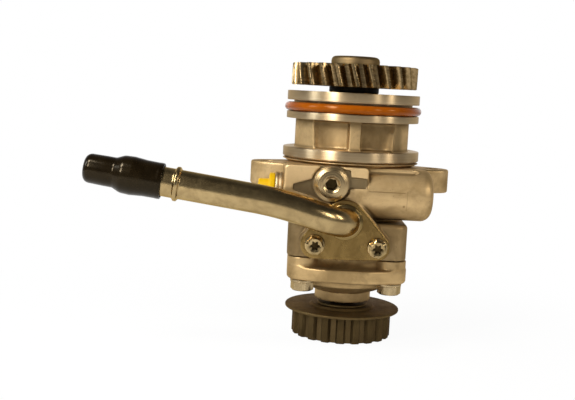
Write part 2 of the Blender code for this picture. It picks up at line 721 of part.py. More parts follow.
def shaft_tunnel():
    """The stepped bore of the housing, from the bearing seat down to the pumping cavity."""
    clip_top = BEARING_TOP_Z + CLEARANCE + CIRCLIP_THICK + CLEARANCE
    relief_r = BEARING_OUTER_R - BEARING_LEDGE
    relief_z = UPPER_SEAL_Z + UPPER_SEAL_THICK + SEAL_ROOM
    profile = [
        (0.0, SPIGOT_TOP_Z + CUT_OVERSHOOT),
        (BEARING_BORE_R, SPIGOT_TOP_Z + CUT_OVERSHOOT),
        (BEARING_BORE_R, clip_top),
        (BEARING_BORE_R + CIRCLIP_DEPTH, clip_top),
        (BEARING_BORE_R + CIRCLIP_DEPTH, BEARING_TOP_Z),
        (BEARING_BORE_R, BEARING_TOP_Z),
        (BEARING_BORE_R, BEARING_BOTTOM_Z - CLEARANCE),
        (relief_r, BEARING_BOTTOM_Z - CLEARANCE),
        (relief_r, relief_z),
        (UPPER_SEAL_R + CLEARANCE, relief_z),
        (UPPER_SEAL_R + CLEARANCE, SEAL_FLOOR_Z),
        (SHAFT_R + SHAFT_ROOM, SEAL_FLOOR_Z),
        (SHAFT_R + SHAFT_ROOM, UPPER_BUSH_TOP_Z + CLEARANCE),
        (UPPER_BUSH_R + CLEARANCE, UPPER_BUSH_TOP_Z + CLEARANCE),
        (UPPER_BUSH_R + CLEARANCE, CAVITY_TOP_Z),
        (CAVITY_R, CAVITY_TOP_Z),
        (CAVITY_R, BLOCK_BOTTOM_Z - CUT_OVERSHOOT),
        (0.0, BLOCK_BOTTOM_Z - CUT_OVERSHOOT),
    ]
    return turned("shaft_tunnel", profile, MEDIUM_STEPS, cutters)


def port_bore():
    """The suction port: a recess for the O-ring, the pipe's socket and the way into the cavity."""
    ring_recess_r = PIPE_R + 2 * PIPE_RING_CORD_R + 2 * CLEARANCE
    ring_recess = 2 * PIPE_RING_CORD_R + CLEARANCE
    depth = PIPE_SPIGOT + CLEARANCE
    passage_r = PIPE_R - PORT_STEP
    profile = [
        (0.0, CUT_OVERSHOOT),
        (ring_recess_r, CUT_OVERSHOOT),
        (ring_recess_r, -ring_recess),
        (PIPE_R + CLEARANCE, -ring_recess),
        (PIPE_R + CLEARANCE, -depth),
        (passage_r, -depth),
        (passage_r, PORT_FACE_Y + CAVITY_R * 0.8),
        (0.0, PORT_FACE_Y + CAVITY_R * 0.8),
    ]
    return turned("port_bore", profile, SMALL_STEPS, cutters, "-Y", (PORT_X, PORT_FACE_Y, PORT_Z))


def flange_outline(margin=0.0):
    """The outline of the suction flange, a belt round the pipe's boss and its two lobes."""
    (left_x, left_z, left_r), (right_x, right_z, right_r) = FLANGE_BOLTS
    return belt([
        (left_x, left_z, left_r + margin),
        (right_x, right_z, right_r + margin),
        (PORT_X, PORT_Z, FLANGE_TOP_R + margin),
    ], 18.0)


def make_housing():
    """The aluminium casting: spigot, ribbed neck, mounting plate, valve boss and pump block."""
    profile = [
        (0.0, SPIGOT_TOP_Z),
        (LAND_R - EDGE_BREAK, SPIGOT_TOP_Z),
        (LAND_R, SPIGOT_TOP_Z - EDGE_BREAK),
        (LAND_R, GROOVE_TOP_Z),
        (RING_GROOVE_R, GROOVE_TOP_Z),
        (RING_GROOVE_R, GROOVE_BOTTOM_Z),
        (LAND_R, GROOVE_BOTTOM_Z),
        (LAND_R, LAND_BOTTOM_Z),
        (SPIGOT_NECK_R, LAND_BOTTOM_Z),
        (SPIGOT_NECK_R, FLANGE_TOP_Z),
        (STOP_FLANGE_R - EDGE_BREAK, FLANGE_TOP_Z),
        (STOP_FLANGE_R, FLANGE_TOP_Z - EDGE_BREAK),
        (STOP_FLANGE_R, FLANGE_BOTTOM_Z),
        (UNDERCUT_R, FLANGE_BOTTOM_Z),
        (UNDERCUT_R, DISC_TOP_Z),
        (DISC_R, DISC_TOP_Z),
        (DISC_R, MOUNT_TOP_Z - SINK),
        (CORE_R, MOUNT_TOP_Z - SINK),
        (CORE_R, BLOCK_TOP_Z - BLOCK_HEIGHT / 2),
        (0.0, BLOCK_TOP_Z - BLOCK_HEIGHT / 2),
    ]
    housing = turned("housing", profile, ROUND_STEPS)
    housing.data.transform(Matrix.Rotation(math.radians(2.0), 4, "Z"))
    mount = flat_plate(
        "mounting_plate",
        [belt([(-EAR_X, 0, EAR_R), (0, 0, MOUNT_CORE_R), (EAR_X, 0, EAR_R), (0, 0, MOUNT_CORE_R)], 18.0)],
        MOUNT_BOTTOM_Z, MOUNT_TOP_Z, cutters)
    pump_block = flat_plate(
        "pump_block",
        [rounded_box(-BLOCK_LEFT, BLOCK_RIGHT, -BLOCK_FRONT, BLOCK_FRONT, BLOCK_CORNER_R)],
        BLOCK_BOTTOM_Z, BLOCK_TOP_Z, cutters)
    round_rim(pump_block, BLOCK_TOP_Z, BLOCK_EDGE)
    relief_boss = rod(
        "relief_boss", RELIEF_BOSS_R, RELIEF_BOSS_FRONT, VALVE_AXIS_Y, "Y", (RELIEF_X, 0, RELIEF_Z), SMALL_STEPS)
    flange_seat = flat_plate(
        "flange_seat", [flange_outline(FLANGE_SEAT_MARGIN)], VALVE_AXIS_Y - 2 * SINK, PORT_FACE_Y, cutters, "Y")
    fuse(housing, mount, pump_block, valve_boss(), valve_pad(), relief_boss, flange_seat)

    for side_x in (-1, 1):
        for side_y in (-1, 1):
            cut(housing, settle(neck_pocket(side_x, side_y)))
    cut(housing, shaft_tunnel(), port_bore())
    cut(housing, rod(
        "valve_bore", VALVE_BORE_R, VALVE_LEFT_X - CUT_OVERSHOOT, VALVE_BORE_END_X, "X",
        (0, VALVE_AXIS_Y, VALVE_Z), SMALL_STEPS))
    cut(housing, flat_plate(
        "flange_spot_face", [flange_outline(2 * CLEARANCE)], PORT_FACE_Y, RELIEF_BOSS_FRONT - CUT_OVERSHOOT, cutters, "Y"))
    cut(housing, rod(
        "union_spot_face", UNION_FLANGE_R + 2 * CLEARANCE, -EAR_X - EAR_R, VALVE_LEFT_X, "X",
        (0, VALVE_AXIS_Y, VALVE_Z), MEDIUM_STEPS))
    relief_depth = RELIEF_STEM_LENGTH + RELIEF_WASHER_THICK + CLEARANCE
    cut(housing, rod(
        "relief_bore", RELIEF_STEM_R + CLEARANCE, RELIEF_BOSS_FRONT - CUT_OVERSHOOT,
        RELIEF_HEAD_Y + relief_depth + CLEARANCE, "Y", (RELIEF_X, 0, RELIEF_Z), SMALL_STEPS))
    cut(housing, rod(
        "relief_passage", RELIEF_PASSAGE_R, RELIEF_HEAD_Y + relief_depth - CLEARANCE, VALVE_AXIS_Y, "Y",
        (RELIEF_X, 0, RELIEF_Z), 8))
    cut(housing, rod(
        "pressure_passage", RELIEF_PASSAGE_R, CAVITY_TOP_Z - SINK / 2, VALVE_Z - VALVE_BORE_R / 2, "Z",
        (PRESSURE_PASSAGE_X, VALVE_AXIS_Y + PRESSURE_PASSAGE_IN, 0), 8))
    for side in (-1, 1):
        cut(housing, rod(
            "ear_hole", EAR_HOLE_R, MOUNT_BOTTOM_Z - CUT_OVERSHOOT, MOUNT_TOP_Z + CUT_OVERSHOOT, "Z",
            (side * EAR_X, 0, 0), 12))
    for x, y in cover_bolt_places():
        cut(housing, rod(
            "cover_bolt_hole", COVER_BOLT_R + CLEARANCE, BLOCK_BOTTOM_Z - CUT_OVERSHOOT,
            BLOCK_BOTTOM_Z + COVER_BOLT_GRIP + CLEARANCE, "Z", (x, y, 0), HOLE_STEPS))
    for x, z, lobe in FLANGE_BOLTS:
        cut(housing, rod(
            "flange_bolt_hole", FLANGE_BOLT_R + CLEARANCE, PORT_FACE_Y - CUT_OVERSHOOT,
            PORT_FACE_Y + FLANGE_BOLT_REACH + CLEARANCE, "Y", (x, 0, z), HOLE_STEPS))
    return finish(housing, CAST_ALUMINIUM)


def round_rim(obj, height, width, segments=2):
    """Round the horizontal edges of a plate at one height."""
    bm = bmesh.new()
    bm.from_mesh(obj.data)
    level = [face for face in bm.faces if all(abs(vert.co.z - height) < 0.00001 for vert in face.verts)]
    bmesh.ops.dissolve_faces(bm, faces=level)
    rim = [edge for edge in bm.edges if all(abs(vert.co.z - height) < 0.00001 for vert in edge.verts)]
    bmesh.ops.bevel(
        bm, geom=rim, offset=width, segments=segments, profile=0.5, affect="EDGES", clamp_overlap=True)
    bm.to_mesh(obj.data)
    bm.free()
    return obj


def cover_bolt_places():
    """The four corners where the cover is bolted on."""
    return [(x * BOLT_X, y * BOLT_Y) for x, y in ((-1, -1), (1, -1), (1, 1), (-1, 1))]


# End cover

def make_cover():
    """The lower cover: corner bosses, a waisted rim, a domed underside and the shaft's neck."""
    facet_y = COVER_FRONT_Y - COVER_FACET_ROUND_R
    outline = belt([
        (-COVER_FACET_HALF, -facet_y, COVER_FACET_ROUND_R),
        (COVER_FACET_HALF, -facet_y, COVER_FACET_ROUND_R),
        (BOLT_X, -BOLT_Y, COVER_CORNER_R),
        (BOLT_X, BOLT_Y, COVER_CORNER_R),
        (COVER_FACET_HALF, facet_y, COVER_FACET_ROUND_R),
        (-COVER_FACET_HALF, facet_y, COVER_FACET_ROUND_R),
        (-BOLT_X, BOLT_Y, COVER_CORNER_R),
        (-BOLT_X, -BOLT_Y, COVER_CORNER_R),
    ])
    rim = flat_plate("cover_rim", [outline], COVER_BOTTOM_Z, COVER_LEDGE_Z, cutters)
    round_rim(rim, COVER_BOTTOM_Z, COVER_EDGE)
    dome = [
        (0.0, COVER_TOP_Z),
        (COVER_WAIST_R, COVER_TOP_Z),
        (COVER_WAIST_R, COVER_BOTTOM_Z + COVER_FLANGE_THICK / 2),
        (DOME_R, COVER_BOTTOM_Z + COVER_FLANGE_THICK / 2),
        (DOME_R, COVER_BOTTOM_Z),
        (DOME_R * 0.87 + NECK_R * 0.13, COVER_BOTTOM_Z - DOME_HEIGHT * 0.50),
        (DOME_R * 0.45 + NECK_R * 0.55, COVER_BOTTOM_Z - DOME_HEIGHT * 0.82),
        (DOME_R * 0.12 + NECK_R * 0.88, COVER_BOTTOM_Z - DOME_HEIGHT * 0.93),
        (NECK_R, DOME_BOTTOM_Z),
        (NECK_R, NECK_BOTTOM_Z + NECK_CHAMFER),
        (NECK_R - NECK_CHAMFER, NECK_BOTTOM_Z),
        (0.0, NECK_BOTTOM_Z),
    ]
    cover = turned("end_cover", dome, ROUND_STEPS)
    fuse(cover, rim)
    for x, y in cover_bolt_places():
        boss = rod(
            "cover_boss", COVER_CORNER_R - EDGE_BREAK, COVER_LEDGE_Z - SINK, COVER_TOP_Z, "Z", (x, y, 0), SMALL_STEPS)
        fuse(cover, boss)

    tunnel = [
        (0.0, COVER_TOP_Z + CUT_OVERSHOOT),
        (LOWER_BUSH_R + CLEARANCE, COVER_TOP_Z + CUT_OVERSHOOT),
        (LOWER_BUSH_R + CLEARANCE, LOWER_BUSH_Z - CLEARANCE),
        (LOWER_JOURNAL_R + SHAFT_ROOM, LOWER_BUSH_Z - CLEARANCE),
        (LOWER_JOURNAL_R + SHAFT_ROOM, LOWER_SEAL_TOP_Z + CLEARANCE),
        (LOWER_SEAL_R + CLEARANCE, LOWER_SEAL_TOP_Z + CLEARANCE),
        (LOWER_SEAL_R + CLEARANCE, NECK_BOTTOM_Z - CUT_OVERSHOOT),
        (0.0, NECK_BOTTOM_Z - CUT_OVERSHOOT),
    ]
    groove_half = COVER_RING_CORD_R + CLEARANCE
    ring_groove = [
        (COVER_RING_R + groove_half, COVER_TOP_Z + CUT_OVERSHOOT),
        (COVER_RING_R + groove_half, COVER_TOP_Z - 2 * COVER_RING_CORD_R),
        (COVER_RING_R - groove_half, COVER_TOP_Z - 2 * COVER_RING_CORD_R),
        (COVER_RING_R - groove_half, COVER_TOP_Z + CUT_OVERSHOOT),
    ]
    cut(cover, turned("cover_tunnel", tunnel, SMALL_STEPS, cutters))
    cut(cover, turned("cover_ring_groove", ring_groove, MEDIUM_STEPS, cutters))
    for x, y in cover_bolt_places():
        cut(cover, rod(
            "cover_hole", COVER_BOLT_R + CLEARANCE, COVER_BOTTOM_Z - CUT_OVERSHOOT,
            COVER_TOP_Z + CUT_OVERSHOOT, "Z", (x, y, 0), HOLE_STEPS))
    for pin_x in pin_places():
        cut(cover, rod(
            "cover_pin_hole", PIN_R + CLEARANCE, pin_bottom() - CLEARANCE, COVER_TOP_Z + CUT_OVERSHOOT,
            "Z", (pin_x, 0, 0), 8))
    return finish(cover, CAST_ALUMINIUM)


def hex_head_bolt(name, shank_r, shank_length, across_flats, head, washer_r, washer, turn_deg=0.0):
    """A flanged hexagon bolt with its head down: the shank starts at height 0 and runs up."""
    bolt = turned(name, [
        (0.0, shank_length),
        (shank_r * 0.85, shank_length),
        (shank_r, shank_length - shank_r * 0.15),
        (shank_r, 0.0),
        (washer_r * 0.94, 0.0),
        (washer_r, -washer * 0.5),
        (across_flats / 2, -washer),
        (0.0, -washer),
    ], 12)
    head_solid = hexagon_prism(name + "_head", across_flats, -washer - head, -washer * 0.6, False)
    head_solid.data.transform(Matrix.Rotation(math.radians(turn_deg), 4, "Z"))
    fuse(bolt, head_solid)
    return bolt


def make_cover_bolts():
    """Four bolts that hold the cover, with their heads down."""
    seat_z = COVER_BOTTOM_Z - CLEARANCE
    length = BLOCK_BOTTOM_Z + COVER_BOLT_GRIP - seat_z
    for index, (x, y) in enumerate(cover_bolt_places(), 1):
        bolt = hex_head_bolt(
            f"cover_bolt_{index}", COVER_BOLT_R, length, COVER_BOLT_AF, COVER_BOLT_HEAD,
            COVER_BOLT_FLANGE_R, COVER_BOLT_FLANGE, turn_deg=30.0 + 17.0 * index)
        settle(bolt)
        bolt.location = (x, y, seat_z)
        finish(bolt, BRIGHT_STEEL)


# Shaft, coupling and gear

def make_shaft():
    """The drive shaft, with a thread at each end and a collar under the bearing."""
    seat_z = COUPLING_WEB_Z + CLEARANCE
    collar_top = BEARING_BOTTOM_Z - CLEARANCE
    profile = [
        (0.0, SHAFT_TOP_Z),
        (THREAD_R - SHAFT_END_CHAMFER, SHAFT_TOP_Z),
        (THREAD_R, SHAFT_TOP_Z - SHAFT_END_CHAMFER),
        (THREAD_R, GEAR_NUT_SEAT_Z - THREAD_RUNOUT),
        (GEAR_SEAT_R, GEAR_NUT_SEAT_Z - THREAD_RUNOUT),
        (GEAR_SEAT_R, BEARING_TOP_Z + CLEARANCE),
        (BEARING_SEAT_R, BEARING_TOP_Z - EDGE_BREAK),
        (BEARING_SEAT_R, collar_top),
        (SHOULDER_R, collar_top),
        (SHOULDER_R, collar_top - SHOULDER_LENGTH),
        (SHAFT_R, collar_top - SHOULDER_LENGTH - SINK),
        (SHAFT_R, COVER_TOP_Z + 1.0 * MM),
        (LOWER_JOURNAL_R, COVER_TOP_Z + 0.5 * MM),
        (LOWER_JOURNAL_R, COUPLING_HUB_TOP_Z + CLEARANCE),
        (COUPLING_SEAT_R, COUPLING_HUB_TOP_Z + CLEARANCE - EDGE_BREAK),
        (COUPLING_SEAT_R, seat_z),
        (THREAD_R, seat_z - EDGE_BREAK),
        (THREAD_R, SHAFT_END_CHAMFER),
        (THREAD_R - SHAFT_END_CHAMFER, 0.0),
        (0.0, 0.0),
    ]
    shaft = turned("pump_shaft", profile, SMALL_STEPS)
    half = KEY_WIDTH / 2 + CLEARANCE
    floor = GEAR_SEAT_R - KEY_HEIGHT / 2 - CLEARANCE
    keyway = block("shaft_keyway", (floor, -half, key_bottom() - CLEARANCE),
                   (GEAR_SEAT_R * 1.5, half, key_bottom() + KEY_LENGTH + CLEARANCE))
    cut(shaft, keyway)
    return finish(shaft, BRIGHT_STEEL)


def key_bottom():
    """Height of the key's lower end, centred in the gear."""
    return GEAR_BOTTOM_Z + (GEAR_NUT_SEAT_Z - GEAR_BOTTOM_Z - KEY_LENGTH) / 2


def make_key():
    """The parallel key between shaft and gear."""
    inner = GEAR_SEAT_R - KEY_HEIGHT / 2
    key = block("gear_key", (inner, -KEY_WIDTH / 2, key_bottom()),
                (inner + KEY_HEIGHT, KEY_WIDTH / 2, key_bottom() + KEY_LENGTH), parts)
    return finish(key, BRIGHT_STEEL)


def gear_outline():
    """The gear's transverse section: involute flanks, root and tip lands."""
    helix = math.radians(GEAR_HELIX_DEG)
    pitch_r = GEAR_PITCH_R
    pressure = math.atan(math.tan(math.radians(GEAR_PRESSURE_DEG)) / math.cos(helix))
    base_r = pitch_r * math.cos(pressure)
    tip_r = pitch_r + GEAR_MODULE
    root_r = GEAR_ROOT_R
    half_tooth = math.pi / (2 * GEAR_TEETH) - 0.004

    def flank_angle(radius):
        """Half the angle of the tooth at a radius, from the involute."""
        roll = math.acos(min(1.0, base_r / radius))
        return half_tooth + (math.tan(pressure) - pressure) - (math.tan(roll) - roll)

    start_r = max(base_r, root_r) + 0.05 * GEAR_MODULE
    radii = [start_r + (tip_r - start_r) * i / 2 for i in range(3)]
    outline = []
    for tooth in range(GEAR_TEETH):
        middle = 2 * math.pi * tooth / GEAR_TEETH
        left = [(r, middle - flank_angle(r)) for r in radii]
        right = [(r, middle + flank_angle(r)) for r in reversed(radii)]
        foot = flank_angle(start_r) + 0.008
        points = [(root_r, middle - foot)] + left + right + [(root_r, middle + foot)]
        outline += [(r * math.cos(a), r * math.sin(a)) for r, a in points]
    return outline, pitch_r


def make_gear():
    """The helical drive gear: its section is swept up along a helix, then turned and bored."""
    outline, pitch_r = gear_outline()
    bm = bmesh.new()
    section = bm.faces.new([bm.verts.new((x, y, GEAR_BOTTOM_Z)) for x, y in outline])
    twist = math.tan(math.radians(GEAR_HELIX_DEG)) * GEAR_WIDTH / pitch_r
    steps = 2
    bmesh.ops.spin(
        bm, geom=[section] + section.verts[:] + section.edges[:], cent=(0, 0, 0), axis=(0, 0, 1),
        dvec=(0, 0, GEAR_WIDTH / steps), angle=-twist, steps=steps, use_duplicate=False)
    bmesh.ops.remove_doubles(bm, verts=bm.verts[:], dist=0.000001)
    gear = object_from_bmesh("drive_gear", bm)

    nose_z = BEARING_TOP_Z + CLEARANCE
    hub = [
        (0.0, GEAR_HUB_TOP_Z),
        *fillet(GEAR_HUB_R - GEAR_HUB_ROUND, GEAR_HUB_TOP_Z - GEAR_HUB_ROUND, GEAR_HUB_ROUND, 90.0, 0.0, 3),
        (GEAR_HUB_R, SPIGOT_TOP_Z - GEAR_NOSE_STEP),
        (GEAR_NOSE_R, SPIGOT_TOP_Z - GEAR_NOSE_STEP),
        (GEAR_NOSE_R, nose_z),
        (0.0, nose_z),
    ]
    fuse(gear, turned("gear_hub", hub, MEDIUM_STEPS, cutters))
    for low, high in ((GEAR_TOP_Z - GEAR_WEB_DEPTH, GEAR_TOP_Z + CUT_OVERSHOOT),
                      (GEAR_BOTTOM_Z - CUT_OVERSHOOT, GEAR_BOTTOM_Z + GEAR_WEB_DEPTH)):
        web = [(GEAR_WEB_OUTER_R, high), (GEAR_WEB_OUTER_R, low), (GEAR_WEB_INNER_R, low), (GEAR_WEB_INNER_R, high)]
        cut(gear, turned("gear_web", web, MEDIUM_STEPS, cutters))
    bore = [
        (0.0, GEAR_HUB_TOP_Z + CUT_OVERSHOOT),
        (GEAR_COUNTERBORE_R, GEAR_HUB_TOP_Z + CUT_OVERSHOOT),
        (GEAR_COUNTERBORE_R, GEAR_NUT_SEAT_Z),
        (GEAR_SEAT_R + CLEARANCE, GEAR_NUT_SEAT_Z),
        (GEAR_SEAT_R + CLEARANCE, nose_z - CUT_OVERSHOOT),
        (0.0, nose_z - CUT_OVERSHOOT),
    ]
    cut(gear, turned("gear_bore", bore, SMALL_STEPS, cutters))
    half = KEY_WIDTH / 2 + CLEARANCE
    top = GEAR_SEAT_R + KEY_HEIGHT / 2 + CLEARANCE
    cut(gear, block("gear_keyway", (0.0, -half, nose_z - CUT_OVERSHOOT), (top, half, GEAR_NUT_SEAT_Z + CUT_OVERSHOOT)))
    return finish(gear, GEAR_STEEL, 25.0)


def hexagon_prism(name, across_flats, low, high, chamfer_on_top=True, collection=cutters):
    """A hexagon with a chamfered end: a six-sided turned profile."""
    corner_r = across_flats / math.sqrt(3.0)
    inner = corner_r * 0.88
    slope = (corner_r - inner) * 0.6
    if chamfer_on_top:
        profile = [(0.0, high), (inner, high), (corner_r, high - slope), (corner_r, low), (0.0, low)]
    else:
        profile = [(0.0, high), (corner_r, high), (corner_r, low + slope), (inner, low), (0.0, low)]
    return turned(name, profile, 6, collection)


def hex_nut(name, across_flats, height, bore_r, low, chamfer_on_top=True):
    """A hexagon nut with one chamfered end, standing on the given height."""
    nut = hexagon_prism(name, across_flats, low, low + height, chamfer_on_top, parts)
    nut.data.transform(Matrix.Rotation(math.radians(20.0), 4, "Z"))
    cut(nut, rod(name + "_bore", bore_r, low - CUT_OVERSHOOT, low + height + CUT_OVERSHOOT))
    return nut


def make_nuts():
    """The nut in the gear's hub, and the washer and nut under the coupling's web."""
    gear_nut = hex_nut("gear_nut", GEAR_NUT_AF, GEAR_NUT_HEIGHT, THREAD_R + CLEARANCE, GEAR_NUT_SEAT_Z + CLEARANCE)
    finish(gear_nut, BRIGHT_STEEL)
    washer_top = COUPLING_WEB_Z - CLEARANCE
    bore_r = THREAD_R + CLEARANCE
    washer = turned("coupling_washer", [
        (COUPLING_WASHER_R, washer_top),
        (COUPLING_WASHER_R, washer_top - COUPLING_WASHER_THICK),
        (bore_r, washer_top - COUPLING_WASHER_THICK),
        (bore_r, washer_top),
    ], MEDIUM_STEPS)
    finish(washer, BRIGHT_STEEL)
    nut_top = washer_top - COUPLING_WASHER_THICK - CLEARANCE
    nut = hex_nut("coupling_nut", COUPLING_NUT_AF, COUPLING_NUT_HEIGHT, bore_r, nut_top - COUPLING_NUT_HEIGHT, False)
    finish(nut, BRIGHT_STEEL)


def make_coupling():
    """The toothed coupling wheel with its thin guide flange and a dished underside."""
    tooth_angle = 360.0 / COUPLING_TEETH
    root_r = COUPLING_TIP_R - COUPLING_TOOTH_DEPTH
    outline = []
    for tooth in range(COUPLING_TEETH):
        middle = tooth_angle * tooth
        for radius, share in ((root_r, -0.32), (COUPLING_TIP_R, -0.22), (COUPLING_TIP_R, 0.22), (root_r, 0.32)):
            angle = math.radians(middle + tooth_angle * share)
            outline.append((radius * math.cos(angle), radius * math.sin(angle)))
    wheel = flat_plate("drive_coupling", [outline], 0.0, COUPLING_TOOTH_HEIGHT + COUPLING_FLANGE_THICK / 2)
    rim_round = COUPLING_FLANGE_THICK / 2
    top = [
        (0.0, COUPLING_HUB_TOP_Z),
        (COUPLING_HUB_STEP_R, COUPLING_HUB_TOP_Z),
        (COUPLING_HUB_STEP_R, COUPLING_HUB_Z),
        (COUPLING_HUB_R, COUPLING_HUB_Z),
        (COUPLING_HUB_R + COUPLING_HUB_RISE, COUPLING_TOP_Z),
        *fillet(COUPLING_FLANGE_R - rim_round, COUPLING_TOP_Z - rim_round, rim_round, 90.0, -90.0, 4),
        (0.0, COUPLING_TOOTH_HEIGHT),
    ]
    fuse(wheel, turned("coupling_flange", top, ROUND_STEPS, cutters))
    recess = [
        (0.0, COUPLING_WEB_Z),
        (COUPLING_RECESS_R - COUPLING_RECESS_CHAMFER, COUPLING_WEB_Z),
        (COUPLING_RECESS_R, COUPLING_WEB_Z - COUPLING_RECESS_CHAMFER),
        (COUPLING_RECESS_R, -CUT_OVERSHOOT),
        (0.0, -CUT_OVERSHOOT),
    ]
    cut(wheel, turned("coupling_recess", recess, MEDIUM_STEPS, cutters))
    cut(wheel, rod("coupling_bore", COUPLING_SEAT_R + CLEARANCE, COUPLING_WEB_Z - CUT_OVERSHOOT,
                   COUPLING_HUB_TOP_Z + CUT_OVERSHOOT, "Z", (0, 0, 0), SMALL_STEPS))
    return finish(wheel, SINTERED_STEEL, 30.0)


# Bearing, seals and bushes

def race_profile(shoulder_r, seat_r, outer):
    """A bearing ring's section: a plain seat on one side and the ball groove on the other."""
    groove_r = BALL_R + CLEARANCE * 1.8
    sweep = math.degrees(math.acos(abs(BALL_PITCH_R - shoulder_r) / groove_r))
    middle = 0.0 if outer else 180.0
    groove = arc((BALL_PITCH_R, BEARING_MID_Z), groove_r, middle - sweep, middle + sweep, 4)
    if outer:
        return [(seat_r, BEARING_TOP_Z), (seat_r, BEARING_BOTTOM_Z), (shoulder_r, BEARING_BOTTOM_Z)] + groove + [
            (shoulder_r, BEARING_TOP_Z)]
    return [(shoulder_r, BEARING_TOP_Z)] + groove + [
        (shoulder_r, BEARING_BOTTOM_Z), (seat_r, BEARING_BOTTOM_Z), (seat_r, BEARING_TOP_Z)]


def make_bearing():
    """The ball bearing: two rings, a cage and its balls, with a circlip above."""
    shoulder = BALL_R * 0.62
    inner = turned("bearing_inner_ring",
                   race_profile(BALL_PITCH_R - shoulder, BEARING_SEAT_R + CLEARANCE, False), MEDIUM_STEPS)
    finish(inner, BEARING_STEEL)
    outer = turned("bearing_outer_ring",
                   race_profile(BALL_PITCH_R + shoulder, BEARING_OUTER_R, True), MEDIUM_STEPS)
    finish(outer, BEARING_STEEL)

    half_height = BALL_R + CLEARANCE + CAGE_WALL
    cage = turned("bearing_cage", [
        (BALL_PITCH_R + CAGE_THICK / 2, BEARING_MID_Z + half_height),
        (BALL_PITCH_R + CAGE_THICK / 2, BEARING_MID_Z - half_height),
        (BALL_PITCH_R - CAGE_THICK / 2, BEARING_MID_Z - half_height),
        (BALL_PITCH_R - CAGE_THICK / 2, BEARING_MID_Z + half_height),
    ], SMALL_STEPS)
    windows = bmesh.new()
    for index in range(BALL_COUNT):
        turn = Matrix.Rotation(2 * math.pi * index / BALL_COUNT, 4, "Z")
        radial = turn @ Matrix.Translation((BALL_PITCH_R, 0, BEARING_MID_Z)) @ AXIS_TURNS["X"]
        bmesh.ops.create_cone(
            windows, cap_ends=True, segments=8, radius1=BALL_R + CLEARANCE * 2.3, radius2=BALL_R + CLEARANCE * 2.3,
            depth=CAGE_THICK * 3, matrix=radial)
    cut(cage, object_from_bmesh("cage_windows", windows, cutters))
    finish(cage, BRONZE)

    for index in range(BALL_COUNT):
        angle = 2 * math.pi * index / BALL_COUNT
        place = (BALL_PITCH_R * math.cos(angle), BALL_PITCH_R * math.sin(angle), BEARING_MID_Z)
        bm = bmesh.new()
        bmesh.ops.create_icosphere(bm, subdivisions=2, radius=BALL_R, matrix=Matrix.Translation(place))
        finish(object_from_bmesh(f"bearing_ball_{index + 1}", bm), BEARING_STEEL, 60.0)

    outer_r = BEARING_BORE_R + CIRCLIP_DEPTH - 2 * CLEARANCE
    half_gap = CIRCLIP_GAP_DEG / 2
    clip_outline = arc((0, 0), outer_r, 90.0 + half_gap, 450.0 - half_gap, 20)
    clip_outline += arc((0, 0), outer_r - CIRCLIP_WIDTH, 450.0 - half_gap, 90.0 + half_gap, 20)
    clip_z = BEARING_TOP_Z + CLEARANCE
    clip = flat_plate("bearing_circlip", [clip_outline], clip_z, clip_z + CIRCLIP_THICK)
    finish(clip, BRIGHT_STEEL)


def seal_profile(outer_r, shaft_r, low, thick):
    """A lip seal's section: a case with an open groove behind the lip."""
    inner_r = shaft_r + CLEARANCE
    wall = SEAL_LIP
    return [
        (outer_r, low + thick),
        (outer_r, low),
        (outer_r - wall, low),
        (outer_r - wall, low + thick - wall),
        (inner_r + wall, low + thick - wall),
        (inner_r, low + wall),
        (inner_r, low + thick),
    ]


def make_seals_and_bushes():
    """Two lip seals and two plain bushes on the shaft."""
    finish(turned("upper_shaft_seal", seal_profile(
        UPPER_SEAL_R, SHAFT_R, UPPER_SEAL_Z, UPPER_SEAL_THICK), SMALL_STEPS), BLACK_RUBBER)
    finish(turned("lower_shaft_seal", seal_profile(
        LOWER_SEAL_R, LOWER_JOURNAL_R, LOWER_SEAL_Z, LOWER_SEAL_THICK), SMALL_STEPS), BLACK_RUBBER)
    for name, outer_r, inner_r, low, high in (
            ("upper_bush", UPPER_BUSH_R, SHAFT_R + CLEARANCE, UPPER_BUSH_Z, UPPER_BUSH_TOP_Z),
            ("lower_bush", LOWER_BUSH_R, LOWER_JOURNAL_R + CLEARANCE, LOWER_BUSH_Z, LOWER_BUSH_TOP_Z)):
        bush = turned(name, [(outer_r, high), (outer_r, low), (inner_r, low), (inner_r, high)], SMALL_STEPS)
        finish(bush, BRONZE)


# Pumping group

def pin_places():
    """The two dowel pins stand where the cam's wall is thickest."""
    return (-PIN_PITCH_R, PIN_PITCH_R)


def pin_bottom():
    """The pins reach a little into the cover."""
    return COVER_TOP_Z - 3.0 * MM


def cam_outline(count=ROUND_STEPS):
    """The cam's bore: two lobes, with the short axis along X."""
    outline = []
    for index in range(count):
        angle = 2 * math.pi * index / count
        radius = CAM_MINOR_R + CAM_LIFT / 2 * (1 - math.cos(2 * angle))
        outline.append((radius * math.cos(angle), radius * math.sin(angle)))
    return outline


def kidney(middle_deg):
    """A kidney-shaped port between two angles."""
    start, end = middle_deg - PORT_SPAN_DEG / 2, middle_deg + PORT_SPAN_DEG / 2
    return arc((0, 0), PORT_PITCH_R + PORT_R, start, end, 3) + arc((0, 0), PORT_PITCH_R - PORT_R, end, start, 3)


